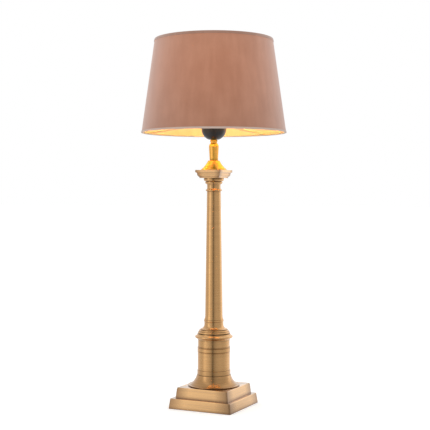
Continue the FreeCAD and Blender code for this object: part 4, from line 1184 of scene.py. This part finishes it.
@dataclass
class Shade:
    """Velvet drum on a gold lining, lapped and glued at the back, taped above and bound below."""

    bottom: float = 149.2
    top: float = 121.9
    rise: float = 190.9
    cover: float = 0.9
    liner: float = 0.6
    courses: int = 8
    lap_faces: int = 4
    lap_rise: float = 0.5
    trim: float = 0.8
    tape_edge: float = 0.4
    fold: float = 0.05
    binding_edge: float = 0.3

    def build(self, workshop: Workshop) -> None:
        """Makes the cover, the lining, the tape and the binding."""
        cover = self.sleeve(0.0, self.cover)
        self.lap(cover)
        workshop.hand_over(cover, "velvet_cover", "shade_cover", Body.SHADE)
        liner = self.sleeve(self.cover, self.liner)
        workshop.hand_over(liner, "gold_film", "shade_liner", Body.SHADE)
        workshop.hand_over(self.tape(), "top_tape", "shade_top_trim", Body.SHADE)
        workshop.hand_over(self.binding(), "bottom_binding", "shade_bottom_trim", Body.SHADE)

    def radius_at(self, height: float) -> float:
        """The cover's outer radius at a height above its lower edge."""
        return self.bottom + (self.top - self.bottom) * height / self.rise

    def sleeve(self, inset: float, thick: float) -> bmesh.types.BMesh:
        """A thin cone.

        Args:
            inset: How far its outer face lies inside the cover's.
            thick: Its thickness.

        Returns:
            The shape.
        """
        outline = Turning(foot_of("shade_cover"), self.bottom - inset - thick, 0.0)
        for course in range(self.courses + 1):
            height = self.rise * course / self.courses
            outline.to(self.radius_at(height) - inset, height)
        for course in range(self.courses):
            height = self.rise * (1.0 - course / self.courses)
            outline.to(self.radius_at(height) - inset - thick, height)
        return outline.spin(SHADE_STEPS)

    def lap(self, shape: bmesh.types.BMesh) -> None:
        """Raises the strip at the back where the velvet is turned in and glued over itself."""
        width = math.tau / SHADE_STEPS * self.lap_faces / 2
        foot = foot_of("shade_cover")
        strip = []
        for face in shape.faces:
            middle = face.calc_center_median()
            off = abs(math.atan2(middle.x, middle.y))
            skin = (self.radius_at((middle.z - foot) / MM) - self.cover / 2) * MM
            if off < width and middle.xy.length > skin and abs(face.normal.z) < SLOPING:
                strip.append(face)
        raised = bmesh.ops.extrude_face_region(shape, geom=strip)
        verts = [part for part in raised["geom"] if isinstance(part, bmesh.types.BMVert)]
        factor = 1.0 + self.lap_rise / self.bottom
        bmesh.ops.scale(shape, vec=(factor, factor, 1.0), verts=verts)
        bmesh.ops.delete(shape, geom=strip, context="FACES_KEEP_BOUNDARY")

    def room(self, node: str) -> tuple[float, float, float]:
        """A trim's foot in metres, then its rise and outer radius in millimetres."""
        low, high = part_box(node)
        return low[2], (high[2] - low[2]) / MM, high[0] / MM

    def tape(self) -> bmesh.types.BMesh:
        """A velvet tape turned over the top edge."""
        foot, rise, outer = self.room("shade_top_trim")
        lean = (self.bottom - self.top) / self.rise * rise
        inner = outer - lean - self.trim * 2 - self.cover - self.liner
        outline = Turning(foot, outer - self.trim, 0.0)
        outline.to(outer, self.tape_edge, QUARTER)
        outline.to(outer - lean, rise - self.trim)
        outline.to(outer - lean - self.trim, rise, QUARTER)
        outline.to(inner + self.trim, rise)
        outline.to(inner, rise - self.trim, QUARTER)
        outline.to(inner + lean, 0.0)
        outline.to(inner + lean + self.trim, 0.0)
        outline.to(inner + self.trim + self.fold, rise - self.trim)
        outline.to(outer - lean - self.trim, rise - self.trim)
        return outline.spin(SHADE_STEPS)

    def binding(self) -> bmesh.types.BMesh:
        """A rolled binding over the bottom edge and its wire."""
        foot, rise, outer = self.room("shade_bottom_trim")
        inner = outer - self.trim * 2 - self.cover - self.liner
        slope = (self.bottom - self.top) / self.rise
        outline = Turning(foot, inner + self.trim, 0.0)
        outline.to(outer - self.trim, 0.0)
        outline.to(outer, self.trim, QUARTER)
        outline.to(outer - slope * (rise - self.trim), rise - self.binding_edge)
        outline.to(outer - self.trim - slope * (rise - self.trim), rise, QUARTER)
        outline.to(outer - self.trim, self.trim)
        outline.to(inner + self.trim, self.trim)
        outline.to(inner + self.trim - slope * rise, rise)
        outline.to(inner - slope * rise, rise - self.binding_edge, QUARTER)
        outline.to(inner, self.trim)
        outline.to(inner + self.trim, 0.0, QUARTER)
        return outline.spin(SHADE_STEPS)


# Studio


@dataclass(frozen=True)
class Softbox:
    """A rectangular lamp that looks at the middle of the lamp's height."""

    name: str
    bearing: float
    distance: float
    height: float
    width: float
    tall: float
    radiance: float
    tint: Color = (1.0, 1.0, 1.0)


@dataclass
class Studio:
    """Camera, floor, world and lamps. Bearings are degrees to the right of the camera, seen from
    the lamp, and 180 is straight behind it."""

    eye: Vector = Vector((0.9251, -1.8957, 0.4388))
    heading: Vector = Vector((-0.43756, 0.89921, 0.0))
    pitch: float = 1.158
    lens: float = 85.35
    sensor: float = 36.0
    aim_height: float = 0.38
    floor_side: float = 60.0
    sky: float = 0.80
    backdrop: float = 1.0
    floor_grey: float = 0.85
    floor_glow: float = 0.42
    floor_share: float = 0.95
    tent_gain: float = 1.12
    compass: tuple[tuple[float, float], ...] = (
        (-180.0, 0.95), (-141.0, 0.78), (-110.0, 0.68), (-90.0, 0.64), (-66.0, 0.92), (-45.0, 0.75),
        (-30.0, 0.60), (-16.0, 0.42), (-9.5, 0.10), (-7.0, 0.10), (-1.0, 0.33), (10.0, 0.44),
        (25.0, 0.53), (45.0, 0.58), (66.0, 0.56), (80.0, 0.60), (100.0, 0.74), (120.0, 0.92),
        (140.0, 1.0), (180.0, 1.0),
    )
    softboxes: tuple[Softbox, ...] = (
        Softbox("key_softbox", -64.0, 1.7, 0.60, 0.50, 1.7, 0.45),
        Softbox("side_softbox", 118.0, 1.7, 0.55, 0.70, 1.5, 0.35),
    )

    def build(self) -> None:
        """Sets the whole studio up."""
        self.place_camera()
        self.lay_floor()
        self.light_world()
        for box in self.softboxes:
            self.hang(box)
        bpy.context.scene.view_settings.view_transform = "Standard"

    def place_camera(self) -> None:
        """Stands the camera where the photograph was taken from."""
        data = bpy.data.cameras.new("camera")
        data.lens = self.lens
        data.sensor_width = self.sensor
        data.sensor_fit = "HORIZONTAL"
        camera = bpy.data.objects.new("camera", data)
        bpy.context.scene.collection.objects.link(camera)
        down = math.radians(self.pitch)
        ahead = self.heading.normalized() * math.cos(down) - AXIS * math.sin(down)
        turn = ahead.to_track_quat("-Z", "Y").to_matrix().to_4x4()
        camera.matrix_world = Matrix.Translation(self.eye) @ turn
        bpy.context.scene.camera = camera

    def lay_floor(self) -> None:
        """Lays a plain pale floor. Seen straight on it glows a little, and in reflections it shows
        the same cloths as the tent."""
        shape = bmesh.new()
        bmesh.ops.create_grid(shape, x_segments=1, y_segments=1, size=self.floor_side / 2)
        data = bpy.data.meshes.new("floor")
        shape.to_mesh(data)
        shape.free()
        floor = bpy.data.objects.new("floor", data)
        bpy.context.scene.collection.objects.link(floor)
        material = bpy.data.materials.new("floor")
        material.use_nodes = True
        graph = Graph(material.node_tree)
        matt = graph.add("ShaderNodeBsdfDiffuse")
        matt.inputs["Color"].default_value = opaque((self.floor_grey,) * 3)
        glow = graph.add("ShaderNodeEmission")
        seen = graph.math("MULTIPLY", self.straight(graph), self.floor_glow)
        graph.feed(glow.inputs["Strength"], seen)
        both = graph.add("ShaderNodeAddShader")
        graph.feed(both.inputs[0], matt.outputs[0])
        graph.feed(both.inputs[1], glow.outputs[0])
        mirrored = graph.add("ShaderNodeEmission")
        place = graph.add("ShaderNodeTexCoord").outputs["Object"]
        graph.feed(mirrored.inputs["Color"], self.tent(graph, place))
        mirrored.inputs["Strength"].default_value = self.floor_share
        chosen = graph.add("ShaderNodeMixShader")
        graph.feed(chosen.inputs[0], graph.add("ShaderNodeLightPath").outputs["Is Glossy Ray"])
        graph.feed(chosen.inputs[1], both.outputs[0])
        graph.feed(chosen.inputs[2], mirrored.outputs[0])
        output = graph.add("ShaderNodeOutputMaterial")
        graph.feed(output.inputs["Surface"], chosen.outputs[0])
        data.materials.append(material)

    def straight(self, graph: Graph) -> bpy.types.NodeSocket:
        """Is 1 for what the camera sees directly or through glass."""
        path = graph.add("ShaderNodeLightPath")
        return graph.math("MAXIMUM", path.outputs["Is Camera Ray"],
                          path.outputs["Is Transmission Ray"])

    def tent(self, graph: Graph, direction: object) -> bpy.types.NodeSocket:
        """The level of the cloth that hangs in a direction from the lamp."""
        turn = graph.add("ShaderNodeVectorRotate", rotation_type="Z_AXIS")
        graph.feed(turn.inputs["Vector"], direction)
        turn.inputs["Angle"].default_value = self.compass_turn()
        angle = graph.add("ShaderNodeTexGradient", gradient_type="RADIAL")
        graph.feed(angle.inputs["Vector"], turn.outputs[0])
        ramp = graph.add("ShaderNodeValToRGB")
        graph.feed(ramp.inputs["Fac"], angle.outputs["Fac"])
        self.fill_ramp(ramp.color_ramp)
        return graph.vector("MULTIPLY", ramp.outputs["Color"], (self.tent_gain,) * 3).outputs[0]

    def light_world(self) -> None:
        """White backdrop, an even sky for matt surfaces, and a tent of paler and darker cloths
        round the lamp for polished ones."""
        world = bpy.data.worlds.new("studio")
        bpy.context.scene.world = world
        world.use_nodes = True
        graph = Graph(world.node_tree)
        direction = graph.add("ShaderNodeTexCoord").outputs["Generated"]
        glossy = graph.add("ShaderNodeLightPath").outputs["Is Glossy Ray"]
        around = self.chosen(graph, glossy, self.sky, self.tent(graph, direction))
        level = self.chosen(graph, self.straight(graph), around, self.backdrop)
        background = graph.add("ShaderNodeBackground")
        graph.feed(background.inputs["Color"], level)
        output = graph.add("ShaderNodeOutputWorld")
        graph.feed(output.inputs["Surface"], background.outputs[0])

    def chosen(self, graph: Graph, factor: object, off: object, on: object) -> bpy.types.NodeSocket:
        """Chooses between two levels or colours by a factor of 0 or 1."""
        grey = [(level,) * 3 if isinstance(level, float) else level for level in (off, on)]
        return graph.mix(factor, *grey)

    def compass_turn(self) -> float:
        """The turn about Z that brings the camera's own direction to the ramp's middle."""
        towards = -self.heading
        return -math.atan2(towards.y, towards.x)

    def fill_ramp(self, ramp: bpy.types.ColorRamp) -> None:
        """Writes the cloths' levels into the ramp, from straight behind round by the left."""
        ramp.interpolation = "EASE"
        while len(ramp.elements) < len(self.compass):
            ramp.elements.new(0.5)
        for stop, (bearing, level) in zip(ramp.elements, self.compass):
            stop.position = (bearing + 180.0) / 360.0
            stop.color = (level, level, level, 1.0)

    def hang(self, box: Softbox) -> None:
        """Hangs one softbox."""
        data = bpy.data.lights.new(box.name, "AREA")
        data.shape = "RECTANGLE"
        data.size = box.width
        data.size_y = box.tall
        data.energy = box.radiance * math.pi * box.width * box.tall
        data.color = box.tint
        lamp = bpy.data.objects.new(box.name, data)
        bpy.context.scene.collection.objects.link(lamp)
        toward = Matrix.Rotation(math.radians(box.bearing), 4, "Z") @ -self.heading.normalized()
        spot = toward * box.distance + AXIS * box.height
        look = AXIS * self.aim_height - spot
        turn = look.to_track_quat("-Z", "Y").to_matrix().to_4x4()
        lamp.matrix_world = Matrix.Translation(spot) @ turn


def main() -> None:
    """Builds the looks, piece by piece."""
    logging.basicConfig(level=logging.INFO, format="%(name)s: %(message)s")
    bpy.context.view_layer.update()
    palette = Palette()
    palette.dress_nodes()
    workshop = Workshop(palette)
    assemblies = (Plinth(), Pedestal(), ColumnBase(), Column(), Capital(), Stem(), Lampholder(),
                  Shade())
    for assembly in assemblies:
        assembly.build(workshop)
    Studio().build()


if __name__ == "__main__":
    main()
